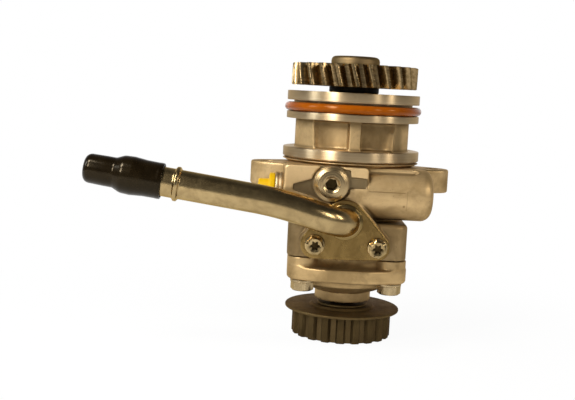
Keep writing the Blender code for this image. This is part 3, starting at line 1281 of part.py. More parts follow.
def make_pumping_group():
    """Rotor, vanes, cam ring, the two side plates, dowel pins and the group's O-rings."""
    pin_holes = [circle((x, 0), PIN_R + CLEARANCE, 8) for x in pin_places()]
    ports = [kidney(angle) for angle in (45.0, 135.0, 225.0, 315.0)]
    shaft_hole = circle((0, 0), SHAFT_R + 2 * CLEARANCE)
    cam = flat_plate("cam_ring", [circle((0, 0), INSERT_R, MEDIUM_STEPS), cam_outline()] + pin_holes,
                     CAM_Z, CAM_Z + CAM_WIDTH)
    finish(cam, GEAR_STEEL)
    lower = flat_plate("lower_side_plate",
                       [circle((0, 0), INSERT_R, MEDIUM_STEPS), shaft_hole] + pin_holes + ports,
                       LOWER_PLATE_Z, LOWER_PLATE_Z + SIDE_PLATE_THICK)
    finish(lower, BRIGHT_STEEL)
    upper = flat_plate("pressure_plate",
                       [circle((0, 0), INSERT_R, MEDIUM_STEPS), shaft_hole] + pin_holes + ports,
                       UPPER_PLATE_Z, UPPER_PLATE_Z + SIDE_PLATE_THICK)
    groove_half = PLATE_RING_CORD_R + CLEARANCE
    seal_z = UPPER_PLATE_Z + SIDE_PLATE_THICK / 2
    seal_pitch_r = INSERT_R - PLATE_RING_CORD_R
    groove = [
        (INSERT_R + CUT_OVERSHOOT, seal_z + groove_half),
        (INSERT_R + CUT_OVERSHOOT, seal_z - groove_half),
        (seal_pitch_r - groove_half, seal_z - groove_half),
        (seal_pitch_r - groove_half, seal_z + groove_half),
    ]
    cut(upper, turned("pressure_plate_groove", groove, MEDIUM_STEPS, cutters))
    finish(upper, BRIGHT_STEEL)
    finish(ring_of("pressure_plate_seal", PLATE_RING_CORD_R, seal_pitch_r, at=(0, 0, seal_z), steps=MEDIUM_STEPS), BLACK_RUBBER)
    ring_z = COVER_TOP_Z - COVER_RING_CORD_R + CLEARANCE / 3
    finish(ring_of("cover_o_ring", COVER_RING_CORD_R, COVER_RING_R, at=(0, 0, ring_z), steps=MEDIUM_STEPS), BLACK_RUBBER)

    for index, x in enumerate(pin_places(), 1):
        pin = rod(f"dowel_pin_{index}", PIN_R, pin_bottom(), seal_z - groove_half - CLEARANCE, "Z",
                  (x, 0, 0), 8, parts)
        finish(pin, BEARING_STEEL)

    rotor_low = CAM_Z + CLEARANCE
    rotor_high = CAM_Z + CAM_WIDTH - CLEARANCE
    rotor = flat_plate("rotor", [rotor_outline(), circle((0, 0), SHAFT_R + CLEARANCE)], rotor_low, rotor_high)
    finish(rotor, GEAR_STEEL, 30.0)

    for index in range(VANE_COUNT):
        half = VANE_THICK / 2
        tip = math.sqrt(VANE_TIP_R ** 2 - half ** 2)
        shape = [(tip - VANE_LENGTH, -half), (tip, -half), (VANE_TIP_R, 0.0), (tip, half), (tip - VANE_LENGTH, half)]
        vane = flat_plate(f"vane_{index + 1}", [shape], rotor_low, rotor_high)
        vane.rotation_euler = (0, 0, vane_angle(index))
        finish(vane, BEARING_STEEL)


def rotor_outline():
    """The rotor's edge with a keyhole slot for every vane."""
    half_slot = VANE_THICK / 2 + CLEARANCE
    foot_r = VANE_TIP_R - VANE_LENGTH - VANE_TRAVEL - CLEARANCE
    mouth_deg = math.degrees(math.asin(half_slot / ROTOR_R))
    foot_deg = math.degrees(math.asin(half_slot / SLOT_FOOT_R))
    outline = []
    for index in range(VANE_COUNT):
        angle = math.degrees(vane_angle(index))
        cosine, sine = math.cos(math.radians(angle)), math.sin(math.radians(angle))
        foot = (foot_r * cosine, foot_r * sine)
        gap = 360.0 / VANE_COUNT
        outline += arc((0, 0), ROTOR_R, angle - gap / 2, angle - mouth_deg, 3)[:-1]
        outline.append(outline_point(ROTOR_R, angle - mouth_deg))
        outline += arc(foot, SLOT_FOOT_R, angle + 360.0 - foot_deg, angle + foot_deg, 6)
        outline.append(outline_point(ROTOR_R, angle + mouth_deg))
        outline.append(outline_point(ROTOR_R, angle + gap / 4 + mouth_deg / 2))
    return outline


def outline_point(radius, angle_deg):
    """A point at a radius and angle."""
    return (radius * math.cos(math.radians(angle_deg)), radius * math.sin(math.radians(angle_deg)))


def vane_angle(index):
    """Angle of one vane round the shaft."""
    return math.radians(VANE_FIRST_DEG + 360.0 * index / VANE_COUNT)


# Flow control valve, union and plugs

def make_flow_valve():
    """The valve's spool and spring, the outlet union and the yellow transit plug."""
    here = (0.0, VALVE_AXIS_Y, VALVE_Z)
    waist_r = SPOOL_R - SPOOL_GROOVE
    end_x = SPOOL_X + SPOOL_LENGTH
    spool = turned("flow_valve_spool", [
        (0.0, end_x - SPOOL_POCKET_DEPTH),
        (SPOOL_POCKET_R, end_x - SPOOL_POCKET_DEPTH),
        (SPOOL_POCKET_R, end_x),
        (SPOOL_R, end_x),
        (SPOOL_R, end_x - SPOOL_LENGTH * 0.4),
        (waist_r, end_x - SPOOL_LENGTH * 0.4),
        (waist_r, SPOOL_X + SPOOL_R),
        (SPOOL_R, SPOOL_X + SPOOL_R),
        (SPOOL_R, SPOOL_X + SPOOL_R * 0.25),
        (SPOOL_R * 0.75, SPOOL_X),
        (0.0, SPOOL_X),
    ], SMALL_STEPS, parts, "X", here)
    finish(spool, BEARING_STEEL)

    start_x = end_x - SPOOL_POCKET_DEPTH + CLEARANCE + SPRING_WIRE_R
    stop_x = VALVE_BORE_END_X - CLEARANCE - SPRING_WIRE_R
    points = SPRING_TURNS * 8 + 1
    curve = bpy.data.curves.new("flow_valve_spring", "CURVE")
    curve.dimensions = "3D"
    curve.bevel_depth = SPRING_WIRE_R
    curve.bevel_resolution = 0
    curve.use_fill_caps = True
    spline = curve.splines.new("POLY")
    spline.points.add(points - 1)
    for index in range(points):
        angle = 2 * math.pi * index / 8
        x = start_x + (stop_x - start_x) * index / (points - 1)
        y = VALVE_AXIS_Y + SPRING_COIL_R * math.cos(angle)
        z = VALVE_Z + SPRING_COIL_R * math.sin(angle)
        spline.points[index].co = (x, y, z, 1.0)
    finish(mesh_of_curve("flow_valve_spring", curve), BRIGHT_STEEL, 60.0)

    stem_r = VALVE_BORE_R - CLEARANCE
    union = turned("outlet_union", [
        (UNION_ORIFICE_R, UNION_IN_X),
        (stem_r, UNION_IN_X),
        (stem_r, VALVE_LEFT_X - CLEARANCE),
        (UNION_FLANGE_R, VALVE_LEFT_X - CLEARANCE),
        (UNION_FLANGE_R, UNION_OUT_X + EDGE_BREAK * 2),
        (UNION_FLANGE_R - EDGE_BREAK * 2, UNION_OUT_X),
        (UNION_SOCKET_R, UNION_OUT_X),
        (UNION_SOCKET_R, UNION_SOCKET_X),
        (UNION_ORIFICE_R, UNION_SOCKET_X),
    ], SMALL_STEPS, parts, "X", here)
    finish(union, BRIGHT_STEEL)

    face_x = UNION_OUT_X - CLEARANCE
    plug_stem_r = UNION_SOCKET_R - CLEARANCE
    plug = turned("transit_plug", [
        (0.0, face_x + PLUG_STEM_LENGTH),
        (plug_stem_r - 0.8 * MM, face_x + PLUG_STEM_LENGTH),
        (plug_stem_r, face_x + PLUG_STEM_LENGTH - 0.8 * MM),
        (plug_stem_r, face_x),
        (PLUG_FLANGE_R, face_x),
        (PLUG_FLANGE_R, face_x - PLUG_FLANGE_THICK),
        (PLUG_KNOB_R, face_x - PLUG_FLANGE_THICK),
        (PLUG_KNOB_R, face_x - PLUG_FLANGE_THICK - PLUG_KNOB_LENGTH + 0.8 * MM),
        (PLUG_KNOB_R - 0.8 * MM, face_x - PLUG_FLANGE_THICK - PLUG_KNOB_LENGTH),
        (0.0, face_x - PLUG_FLANGE_THICK - PLUG_KNOB_LENGTH),
    ], SMALL_STEPS, parts, "X", here)
    finish(plug, YELLOW_PLASTIC)


def make_relief_plug():
    """The hex-socket plug on the front of the valve boss, and its sealing washer."""
    here = (RELIEF_X, 0.0, RELIEF_Z)
    bore_r = RELIEF_STEM_R + CLEARANCE
    washer = turned("relief_plug_washer", [
        (RELIEF_HEAD_R, RELIEF_WASHER_THICK),
        (RELIEF_HEAD_R, 0.0),
        (bore_r, 0.0),
        (bore_r, RELIEF_WASHER_THICK),
    ], SMALL_STEPS, parts, "-Y", (RELIEF_X, RELIEF_WASHER_Y, RELIEF_Z))
    finish(washer, COPPER)
    stem = RELIEF_STEM_LENGTH + RELIEF_WASHER_THICK
    plug = turned("relief_plug", [
        (0.0, RELIEF_HEAD_THICK),
        (RELIEF_HEAD_R - 1.2 * MM, RELIEF_HEAD_THICK),
        (RELIEF_HEAD_R, RELIEF_HEAD_THICK - 1.2 * MM),
        (RELIEF_HEAD_R, 0.0),
        (RELIEF_STEM_R, 0.0),
        (RELIEF_STEM_R, -stem + 0.8 * MM),
        (RELIEF_STEM_R - 0.8 * MM, -stem),
        (0.0, -stem),
    ], SMALL_STEPS, parts, "-Y", (RELIEF_X, RELIEF_HEAD_Y, RELIEF_Z))
    front_y = RELIEF_HEAD_Y - RELIEF_HEAD_THICK
    socket = flat_plate("relief_socket", [hexagon((RELIEF_X, RELIEF_Z), RELIEF_HEX_AF, 10.0)],
                        front_y + RELIEF_HEX_DEPTH, front_y - CUT_OVERSHOOT, cutters, "Y")
    cut(plug, socket)
    finish(plug, BRIGHT_STEEL)
    return here


# Suction pipe, flange plate and cap

def mesh_of_curve(name, curve):
    """Turn a bevelled curve into a closed mesh object."""
    drawn = bpy.data.objects.new(name + "_curve", curve)
    cutters.objects.link(drawn)
    bpy.context.view_layer.update()
    depsgraph = bpy.context.evaluated_depsgraph_get()
    mesh = bpy.data.meshes.new_from_object(drawn.evaluated_get(depsgraph))
    bm = bmesh.new()
    bm.from_mesh(mesh)
    bmesh.ops.remove_doubles(bm, verts=bm.verts[:], dist=0.000002)
    bpy.data.objects.remove(drawn, do_unlink=True)
    bpy.data.meshes.remove(mesh)
    return object_from_bmesh(name, bm)


def pipe_route(start_extra=0.0, end_extra=0.0):
    """Points on the pipe's centre line with the length run so far, from its socket to its free end.

    The pipe comes out of the port along -Y, turns in a tight elbow to the left, rises on a short
    straight, sweeps gently flatter and ends on a long straight run.
    """
    rise = math.radians(PIPE_RISE_DEG)
    flat = math.radians(PIPE_END_DEG)
    out = Vector((0.0, -1.0, 0.0))
    first = Vector((-math.cos(rise), 0.0, math.sin(rise)))
    last = Vector((-math.cos(flat), 0.0, math.sin(flat)))
    port = Vector((PORT_X, PORT_FACE_Y, PORT_Z))
    elbow_start = port + out * (CLEARANCE * 2 + FLANGE_THICK + PIPE_COLLAR_WIDTH * 0.4)
    points = [port - out * (PIPE_SPIGOT + start_extra), elbow_start]
    elbow_centre = elbow_start + first * PIPE_ELBOW_R
    for index in range(1, 8):
        angle = math.pi / 2 * index / 7
        points.append(elbow_centre - first * PIPE_ELBOW_R * math.cos(angle) + out * PIPE_ELBOW_R * math.sin(angle))
    points.append(points[-1] + first * PIPE_FIRST_RUN)
    side = Vector((-math.sin(rise), 0.0, -math.cos(rise)))
    sweep_centre = points[-1] + side * PIPE_SWEEP_R
    for index in range(1, 4):
        angle = rise - (rise - flat) * index / 3
        points.append(sweep_centre - Vector((-math.sin(angle), 0.0, -math.cos(angle))) * PIPE_SWEEP_R)
    points.append(points[-1] + last * (PIPE_LAST_RUN + end_extra))
    return points, last


def pipe_end():
    """The centre of the pipe's free end, and the way it points."""
    points, last = pipe_route()
    return points[-1], last


def pipe_tube(name, radius, start_extra=0.0, end_extra=0.0, marks=()):
    """A bevelled curve along the route. Marks are (distance, radius) pairs where the tube swells."""
    points, last = pipe_route(start_extra, end_extra)
    stations = [(point, radius) for point in points]
    if marks:
        stations = []
        for index in range(len(points) - 1):
            start, stop = points[index], points[index + 1]
            span = (stop - start).length
            heading = (stop - start).normalized()
            stations.append((start, radius))
            run = sum((points[i + 1] - points[i]).length for i in range(index))
            for distance, swell in marks:
                if run < distance < run + span:
                    stations.append((start + heading * (distance - run), swell))
        stations.append((points[-1], radius))
    curve = bpy.data.curves.new(name, "CURVE")
    curve.dimensions = "3D"
    curve.bevel_depth = radius
    curve.bevel_resolution = 4
    curve.use_fill_caps = True
    curve.twist_mode = "Z_UP"
    spline = curve.splines.new("POLY")
    spline.points.add(len(stations) - 1)
    for point, (place, swell) in zip(spline.points, stations):
        point.co = (*place, 1.0)
        point.radius = swell / radius
    return mesh_of_curve(name, curve)


def pipe_marks():
    """Where the pipe swells: the collar on the flange, the hose bead and the barb at its end."""
    points, last = pipe_route()
    length = sum((points[i + 1] - points[i]).length for i in range(len(points) - 1))
    marks = []
    collar = PIPE_SPIGOT + 2 * CLEARANCE + FLANGE_THICK
    flat = 0.05 * MM
    marks += [(collar - flat, PIPE_R), (collar, PIPE_COLLAR_R - 0.4 * MM)]
    bead = length - PIPE_BEAD_FROM_END
    for middle, height, width in ((bead, PIPE_BEAD_R, PIPE_BEAD_WIDTH),
                                  (length - PIPE_BARB_FROM_END, PIPE_BARB_R, PIPE_BEAD_WIDTH)):
        half = width / 2
        marks += [(middle - half, PIPE_R), (middle - half * 0.55, (PIPE_R + 3 * height) / 4), (middle, height),
                  (middle + half * 0.55, (PIPE_R + 3 * height) / 4), (middle + half, PIPE_R)]
    return marks[2:]


def make_pipe():
    """The bent steel suction pipe with its brazed collar, hose bead and barb."""
    pipe = pipe_tube("suction_pipe", PIPE_R, marks=pipe_marks())
    collar = turned("pipe_collar", [
        (PIPE_R - PIPE_WALL / 2, PIPE_COLLAR_WIDTH),
        (PIPE_COLLAR_R - PIPE_COLLAR_WIDTH * 0.6, PIPE_COLLAR_WIDTH),
        (PIPE_COLLAR_R, PIPE_COLLAR_WIDTH * 0.45),
        (PIPE_COLLAR_R, 0.0),
        (PIPE_R - PIPE_WALL / 2, 0.0),
    ], SMALL_STEPS, cutters, "-Y", (PORT_X, PLATE_FRONT_Y - CLEARANCE, PORT_Z))
    fuse(pipe, collar)
    bore = pipe_tube("pipe_bore", PIPE_R - PIPE_WALL, CUT_OVERSHOOT, CUT_OVERSHOOT)
    cut(pipe, bore)
    return finish(pipe, YELLOW_ZINC, 40.0)


def make_flange_plate():
    """The two-bolt plate that holds the pipe, with an O-ring behind it."""
    holes = [circle((x, z), FLANGE_BOLT_R + CLEARANCE, HOLE_STEPS) for x, z, lobe in FLANGE_BOLTS]
    pipe_hole = circle((PORT_X, PORT_Z), PIPE_R + CLEARANCE)
    plate = flat_plate("pipe_flange_plate", [flange_outline(), pipe_hole] + holes, PLATE_BACK_Y, PLATE_FRONT_Y,
                       parts, "Y")
    finish(plate, YELLOW_ZINC)
    ring_y = PORT_FACE_Y + PIPE_RING_CORD_R
    ring = ring_of("pipe_o_ring", PIPE_RING_CORD_R, PIPE_R + CLEARANCE + PIPE_RING_CORD_R,
                   axis="Y", at=(PORT_X, ring_y, PORT_Z), steps=SMALL_STEPS)
    finish(ring, BLACK_RUBBER)


def star(radius, depth_share, lobes=6):
    """A rounded star: the drive recess of the flange bolts."""
    outline = []
    for index in range(lobes * 2):
        angle = 2 * math.pi * index / (lobes * 2)
        outline.append((
            radius * (1 - depth_share * (1 - math.cos(lobes * angle)) / 2) * math.cos(angle),
            radius * (1 - depth_share * (1 - math.cos(lobes * angle)) / 2) * math.sin(angle)))
    return outline


def make_flange_bolts():
    """The two bolts of the pipe's plate, with a star recess in each hexagon head."""
    seat_y = PLATE_FRONT_Y - CLEARANCE
    shank = PORT_FACE_Y + FLANGE_BOLT_REACH - seat_y
    for index, (x, z, lobe) in enumerate(FLANGE_BOLTS, 1):
        bolt = hex_head_bolt(
            f"flange_bolt_{index}", FLANGE_BOLT_R, shank, FLANGE_BOLT_HEAD_AF, FLANGE_BOLT_HEAD,
            FLANGE_BOLT_WASHER_R, FLANGE_BOLT_WASHER, turn_deg=11.0 * index)
        face = -FLANGE_BOLT_WASHER - FLANGE_BOLT_HEAD
        recess = flat_plate("bolt_recess", [star(FLANGE_BOLT_STAR_R, 0.34)],
                            face - CUT_OVERSHOOT, face + FLANGE_BOLT_STAR_DEPTH, cutters)
        cut(bolt, recess)
        settle(bolt)
        bolt.data.transform(AXIS_TURNS["Y"])
        bolt.location = (x, seat_y, z)
        finish(bolt, YELLOW_ZINC)


def make_cap():
    """The black vinyl cap pushed over the pipe's free end, turned on the pipe's own axis."""
    end, last = pipe_end()
    lip = -CAP_ON_PIPE
    bulge = lip + CAP_BULGE_FROM_LIP
    shoulder = bulge + CAP_SHOULDER
    tip = shoulder + CAP_NOSE_LENGTH
    inner_r = PIPE_BARB_R + CLEARANCE
    nose_bore_r = CAP_NOSE_R - CAP_WALL
    outside = [(0.0, tip)]
    outside += fillet(CAP_NOSE_R - CAP_NOSE_ROUND, tip - CAP_NOSE_ROUND, CAP_NOSE_ROUND, 90.0, 0.0, 4)
    outside += [
        (CAP_NOSE_R, shoulder),
        (CAP_NOSE_R + (CAP_BULGE_R - CAP_NOSE_R) * 0.25, shoulder - CAP_SHOULDER * 0.3),
        (CAP_NOSE_R + (CAP_BULGE_R - CAP_NOSE_R) * 0.8, shoulder - CAP_SHOULDER * 0.65),
        (CAP_BULGE_R, bulge),
        (CAP_LIP_R + (CAP_BULGE_R - CAP_LIP_R) * 0.5, bulge - 5.0 * MM),
        (CAP_LIP_R, bulge - 11.0 * MM),
        (CAP_LIP_R, lip),
    ]
    inside = [
        (inner_r, lip),
        (inner_r, CLEARANCE),
        (nose_bore_r, shoulder),
        (nose_bore_r, tip - CAP_WALL - CAP_NOSE_ROUND / 2),
        (nose_bore_r * 0.6, tip - CAP_WALL),
        (0.0, tip - CAP_WALL),
    ]
    cap = turned("pipe_cap", outside + inside, SMALL_STEPS)
    turn = last.to_track_quat("Z", "Y").to_matrix().to_4x4()
    cap.data.transform(turn)
    cap.location = end
    return finish(cap, BLACK_VINYL, 45.0)


def make_spigot_ring():
    """The orange O-ring in the spigot's groove."""
    return finish(ring_of("spigot_o_ring", O_RING_CORD_R, O_RING_PITCH_R, at=(0, 0, O_RING_Z), sides=8),
                  ORANGE_RUBBER, 60.0)


make_housing()
make_cover()
make_cover_bolts()
make_shaft()
make_key()
make_gear()
make_nuts()
make_coupling()
make_bearing()
make_seals_and_bushes()
make_pumping_group()
make_flow_valve()
make_relief_plug()
make_pipe()
make_flange_plate()
make_flange_bolts()
make_cap()
make_spigot_ring()
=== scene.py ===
import math

import bpy
import numpy as np
from mathutils import Matrix, Vector


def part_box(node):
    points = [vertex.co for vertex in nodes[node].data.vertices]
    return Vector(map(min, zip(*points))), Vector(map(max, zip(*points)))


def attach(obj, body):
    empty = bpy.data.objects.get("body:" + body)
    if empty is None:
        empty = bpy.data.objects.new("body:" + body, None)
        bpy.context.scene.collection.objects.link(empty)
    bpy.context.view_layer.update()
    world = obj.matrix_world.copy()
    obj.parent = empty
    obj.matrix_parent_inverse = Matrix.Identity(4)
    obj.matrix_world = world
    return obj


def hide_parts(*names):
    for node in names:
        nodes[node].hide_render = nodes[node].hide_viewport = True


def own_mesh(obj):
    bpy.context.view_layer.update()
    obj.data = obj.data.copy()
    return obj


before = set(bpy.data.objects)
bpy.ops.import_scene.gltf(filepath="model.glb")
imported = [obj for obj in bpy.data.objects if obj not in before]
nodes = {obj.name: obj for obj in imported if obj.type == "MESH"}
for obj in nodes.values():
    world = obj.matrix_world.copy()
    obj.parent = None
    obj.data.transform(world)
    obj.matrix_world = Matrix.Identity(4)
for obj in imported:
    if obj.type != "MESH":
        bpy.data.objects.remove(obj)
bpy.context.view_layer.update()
mm = 0.001  # the pump's lengths are in millimetres; the camera's and the lamps' places are in metres

# Axes that several pieces share
coverBoltAt = (27.4, 28.0)  # x and y, to both sides
pipePort = (-3.8, 79.9)  # x and z
screwPlugAt = (-13.2, 102.2)  # x and z
valveAxis = (0.0, -28.0, 96.6)

# Camera at the photograph's viewpoint, a little above the pump and rolled a few degrees
cameraSet = {"place": (-0.0392, -0.6389, 0.1579), "pitch": 6.415, "roll": 2.934, "lens": 61.65,
             "sensor": 36.0, "near": 0.01}


def placeCamera():
    # the view goes along +Y and down by the pitch, then turns about itself by the roll
    s = cameraSet
    pitch, roll = math.radians(s["pitch"]), math.radians(s["roll"])
    forward = Vector((0.0, math.cos(pitch), -math.sin(pitch)))
    level = Vector((1.0, 0.0, 0.0))
    rise = level.cross(forward)
    across = level * math.cos(roll) + rise * math.sin(roll)
    upward = rise * math.cos(roll) - level * math.sin(roll)
    data = bpy.data.cameras.new("photoCamera")
    data.lens, data.sensor_width, data.clip_start = s["lens"], s["sensor"], s["near"]
    camera = bpy.data.objects.new("photoCamera", data)
    turn = Matrix((across, upward, -forward)).transposed().to_4x4()
    camera.matrix_world = Matrix.Translation(s["place"]) @ turn
    bpy.context.scene.collection.objects.link(camera)
    bpy.context.scene.camera = camera


placeCamera()


# Putting arrays into meshes

def weld(points, quads, size=0.0005):
    # points that share a place become one, and a quad whose corners met becomes a triangle or goes
    key = np.round(points / size).astype(np.int64)
    _, first, inverse = np.unique(key, axis=0, return_index=True, return_inverse=True)
    quads = inverse.reshape(-1)[quads]
    keep = quads != np.roll(quads, 1, axis=1)
    count = keep.sum(axis=1)
    good = count >= 3
    return points[first], quads[good][keep[good]], count[good], first


def piece(name, points, quads, material, body="pump", slotName=None, stands=(), sharp=35.0, marks=None):
    # the closed shell is turned right side out by the sign of its volume, then smoothed up to an angle;
    # marks are values per point that the material reads
    points, loops, counts, kept = weld(np.asarray(points, float), quads)
    starts = np.concatenate([[0], np.cumsum(counts)[:-1]])
    a, b = points[loops[starts]], points[loops[starts + 1]]
    c, d = points[loops[starts + 2]], points[loops[starts + counts - 1]]
    volume = np.sum(a * np.cross(b, c)) + np.sum((a * np.cross(c, d))[counts == 4])
    if volume < 0:
        last = np.repeat(starts + counts - 1, counts)
        offset = np.arange(len(loops)) - np.repeat(starts, counts)
        loops = loops[last - offset]
    mesh = bpy.data.meshes.new(name)
    mesh.vertices.add(len(points))
    mesh.vertices.foreach_set("co", (points * mm).ravel())
    mesh.loops.add(len(loops))
    mesh.loops.foreach_set("vertex_index", loops.astype(np.int32))
    mesh.polygons.add(len(starts))
    mesh.polygons.foreach_set("loop_start", starts.astype(np.int32))
    mesh.update(calc_edges=True)
    mesh.validate()
    mesh.polygons.foreach_set("use_smooth", np.ones(len(mesh.polygons), bool))
    mesh.set_sharp_from_angle(angle=math.radians(sharp))
    mesh.materials.append(material)
    for label, values in (marks or {}).items():
        mark = mesh.attributes.new(label, "FLOAT", "POINT")
        mark.data.foreach_set("value", values[kept].astype(np.float32))
    made = bpy.data.objects.new(name, mesh)
    bpy.context.scene.collection.objects.link(made)
    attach(made, body)
    if stands:
        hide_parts(*stands)
    return made


def gridQuads(countU, countV, wrapU=True, wrapV=False):
    # the corner numbers of every cell of a grid, joined round where it wraps
    index = np.arange(countU * countV).reshape(countU, countV)
    if wrapU:
        index = np.concatenate([index, index[:1]], axis=0)
    if wrapV:
        index = np.concatenate([index, index[:, :1]], axis=1)
    corners = [index[:-1, :-1], index[1:, :-1], index[1:, 1:], index[:-1, 1:]]
    return np.stack(corners, axis=-1).reshape(-1, 4)


def roundedPath(corners, closed=True, steps=4):
    # each corner (r, z, radius) becomes an arc that touches both of its sides
    count = len(corners)
    path = []
    for number, (r, z, radius) in enumerate(corners):
        here = np.array([r, z], float)
        ends = not closed and number in (0, count - 1)
        if radius <= 0 or ends:
            path.append(here)
            continue
        before = np.array(corners[number - 1][:2], float) - here
        after = np.array(corners[(number + 1) % count][:2], float) - here
        lengthBefore, lengthAfter = np.hypot(*before), np.hypot(*after)
        before, after = before / lengthBefore, after / lengthAfter
        half = math.acos(float(np.clip(before @ after, -0.9999, 0.9999))) / 2
        cut = min(radius / math.tan(half), 0.48 * lengthBefore, 0.48 * lengthAfter)
        radius = cut * math.tan(half)
        middle = here + (before + after) / np.hypot(*(before + after)) * radius / math.sin(half)
        first, second = here + before * cut - middle, here + after * cut - middle
        sweep = math.pi - 2 * half
        share = np.linspace(0.0, 1.0, steps + 1)[:, None]
        arc = (np.sin((1 - share) * sweep) * first + np.sin(share * sweep) * second) / math.sin(sweep)
        path.extend(middle + arc)
    return np.array(path)


axisTurns = {
    "Z": np.eye(3),
    "-Z": np.array([[1.0, 0, 0], [0, -1, 0], [0, 0, -1]]),
    "-X": np.array([[0.0, 0, -1], [0, 1, 0], [1, 0, 0]]),
    "-Y": np.array([[1.0, 0, 0], [0, 0, -1], [0, 1, 0]]),
}


def lathe(path, closed, steps=120, axis="Z", at=(0.0, 0.0, 0.0), radiusAt=None):
    # a point of the path (r, z) goes round the axis: x = r cos, y = r sin; radiusAt may reshape r by angle
    angle = np.linspace(0.0, 2 * math.pi, steps, endpoint=False)[:, None]
    r, z = path[None, :, 0], path[None, :, 1]
    r = radiusAt(angle, r, z) if radiusAt else r + 0 * angle
    grid = np.stack([r * np.cos(angle), r * np.sin(angle), z + 0 * angle], axis=-1)
    frameTurn = axisTurns[axis] if isinstance(axis, str) else axis
    points = grid.reshape(-1, 3) @ frameTurn.T + np.array(at)
    return points, gridQuads(steps, path.shape[0], True, closed)


def turned(name, corners, material, slotName, body="pump", stands=(), closed=True, steps=96, axis="Z",
           at=(0.0, 0.0, 0.0), radiusAt=None, arcSteps=4, sharp=35.0):
    # a piece turned from its corners, each a radius, a height along the axis and a rounding
    path = roundedPath(corners, closed, arcSteps)
    points, quads = lathe(path, closed, steps, axis, at, radiusAt)
    return piece(name, points, quads, material, body, slotName, stands, sharp)


# Shapes as distance fields, for castings whose forms run into each other

def blendMin(a, b, soft):
    # the nearer of two distances, with the crease between them filled over the length soft
    near = np.maximum(soft - np.abs(a - b), 0.0) / soft
    return np.minimum(a, b) - near * near * soft / 4


def blendMax(a, b, soft):
    return -blendMin(-a, -b, soft)


def both(a, b, edge):
    # the overlap of two forms, its outer edge rounded to the radius edge
    a, b = a + edge, b + edge
    return np.minimum(np.maximum(a, b), 0.0) + np.hypot(np.maximum(a, 0.0), np.maximum(b, 0.0)) - edge


def between(value, low, high):
    return np.abs(value - (low + high) / 2) - (high - low) / 2


def roundBox(x, y, halfX, halfY, corner):
    awayX, awayY = np.abs(x) - halfX + corner, np.abs(y) - halfY + corner
    outside = np.hypot(np.maximum(awayX, 0.0), np.maximum(awayY, 0.0))
    return outside + np.minimum(np.maximum(awayX, awayY), 0.0) - corner


def belt(x, y, circles, directions=144):
    # distance to a belt pulled round circles: over all directions, the most that a point lies past the belt
    best = None
    for angle in np.linspace(0.0, 2 * math.pi, directions, endpoint=False):
        c, s = math.cos(angle), math.sin(angle)
        reach = x * c + y * s - max(px * c + py * s + r for px, py, r in circles)
        best = reach if best is None else np.maximum(best, reach)
    return best


def surfaceNet(distance, low, high, step, pulls=3):
    # one point in each grid cell that the surface crosses, pulled onto the surface along its slope,
    # and one quad across each grid edge that changes side
    low, high = np.array(low, float), np.array(high, float)
    counts = np.ceil((high - low) / step).astype(int) + 1
    x, y, z = (low[i] + step * np.arange(counts[i]) for i in range(3))
    field = distance(x[:, None, None], y[None, :, None], z[None, None, :])
    field = np.ascontiguousarray(np.broadcast_to(field, tuple(counts)))
    inside = field < 0
    cells = tuple(counts - 1)
    total = np.zeros(cells, np.int8)
    shifts = [(a, b, c) for a in (0, 1) for b in (0, 1) for c in (0, 1)]
    for a, b, c in shifts:
        total += inside[a:a + cells[0], b:b + cells[1], c:c + cells[2]]
    active = (total > 0) & (total < 8)
    number = np.full(cells, -1, np.int64)
    i, j, k = np.nonzero(active)
    number[i, j, k] = np.arange(len(i))
    place, crossings = np.zeros((len(i), 3)), np.zeros(len(i))
    for start in shifts:
        for axis in range(3):
            if start[axis]:
                continue
            end = list(start)
            end[axis] = 1
            fa = field[i + start[0], j + start[1], k + start[2]]
            fb = field[i + end[0], j + end[1], k + end[2]]
            hit = (fa < 0) != (fb < 0)
            share = np.where(hit, fa / np.where(hit, fa - fb, 1.0), 0.0)
            offset = np.array(start, float) + share[:, None] * (np.array(end) - np.array(start))
            place += offset * hit[:, None]
            crossings += hit
    points = low + step * (np.stack([i, j, k], axis=-1) + place / crossings[:, None])
    probe = 0.02  # how far the slope is felt for
    for _ in range(pulls):
        here = distance(points[:, 0], points[:, 1], points[:, 2])
        slope = np.empty_like(points)
        for axis in range(3):
            moved = points.copy()
            moved[:, axis] += probe
            slope[:, axis] = (distance(moved[:, 0], moved[:, 1], moved[:, 2]) - here) / probe
        steep = np.maximum(np.sum(slope * slope, axis=1), 0.25)
        points -= np.clip(here / steep, -0.4 * step, 0.4 * step)[:, None] * slope
    # how closed in each point is: out along the slope, the nearest metal comes closer than the step taken
    outward = slope / np.sqrt(np.maximum(np.sum(slope * slope, axis=1), 0.01))[:, None]
    reach = 2.4
    ahead = points + outward * reach
    cavity = np.clip(1.0 - distance(ahead[:, 0], ahead[:, 1], ahead[:, 2]) / reach, 0.0, 1.0)
    quads = []
    rings = {0: ((0, -1, -1), (0, 0, -1), (0, 0, 0), (0, -1, 0)),
             1: ((-1, 0, -1), (-1, 0, 0), (0, 0, 0), (0, 0, -1)),
             2: ((-1, -1, 0), (0, -1, 0), (0, 0, 0), (-1, 0, 0))}
    for axis, ring in rings.items():
        first = [slice(1, -1)] * 3
        second = [slice(1, -1)] * 3
        first[axis], second[axis] = slice(0, -1), slice(1, None)
        a, b = inside[tuple(first)], inside[tuple(second)]
        edge = np.stack(np.nonzero(a != b), axis=-1)
        outward = a[edge[:, 0], edge[:, 1], edge[:, 2]]
        edge = edge + np.array([0 if n == axis else 1 for n in range(3)])
        corners = np.stack([number[tuple((edge + np.array(r)).T)] for r in ring], axis=-1)
        corners[~outward] = corners[~outward][:, ::-1]
        quads.append(corners)
    return points, np.concatenate(quads), cavity


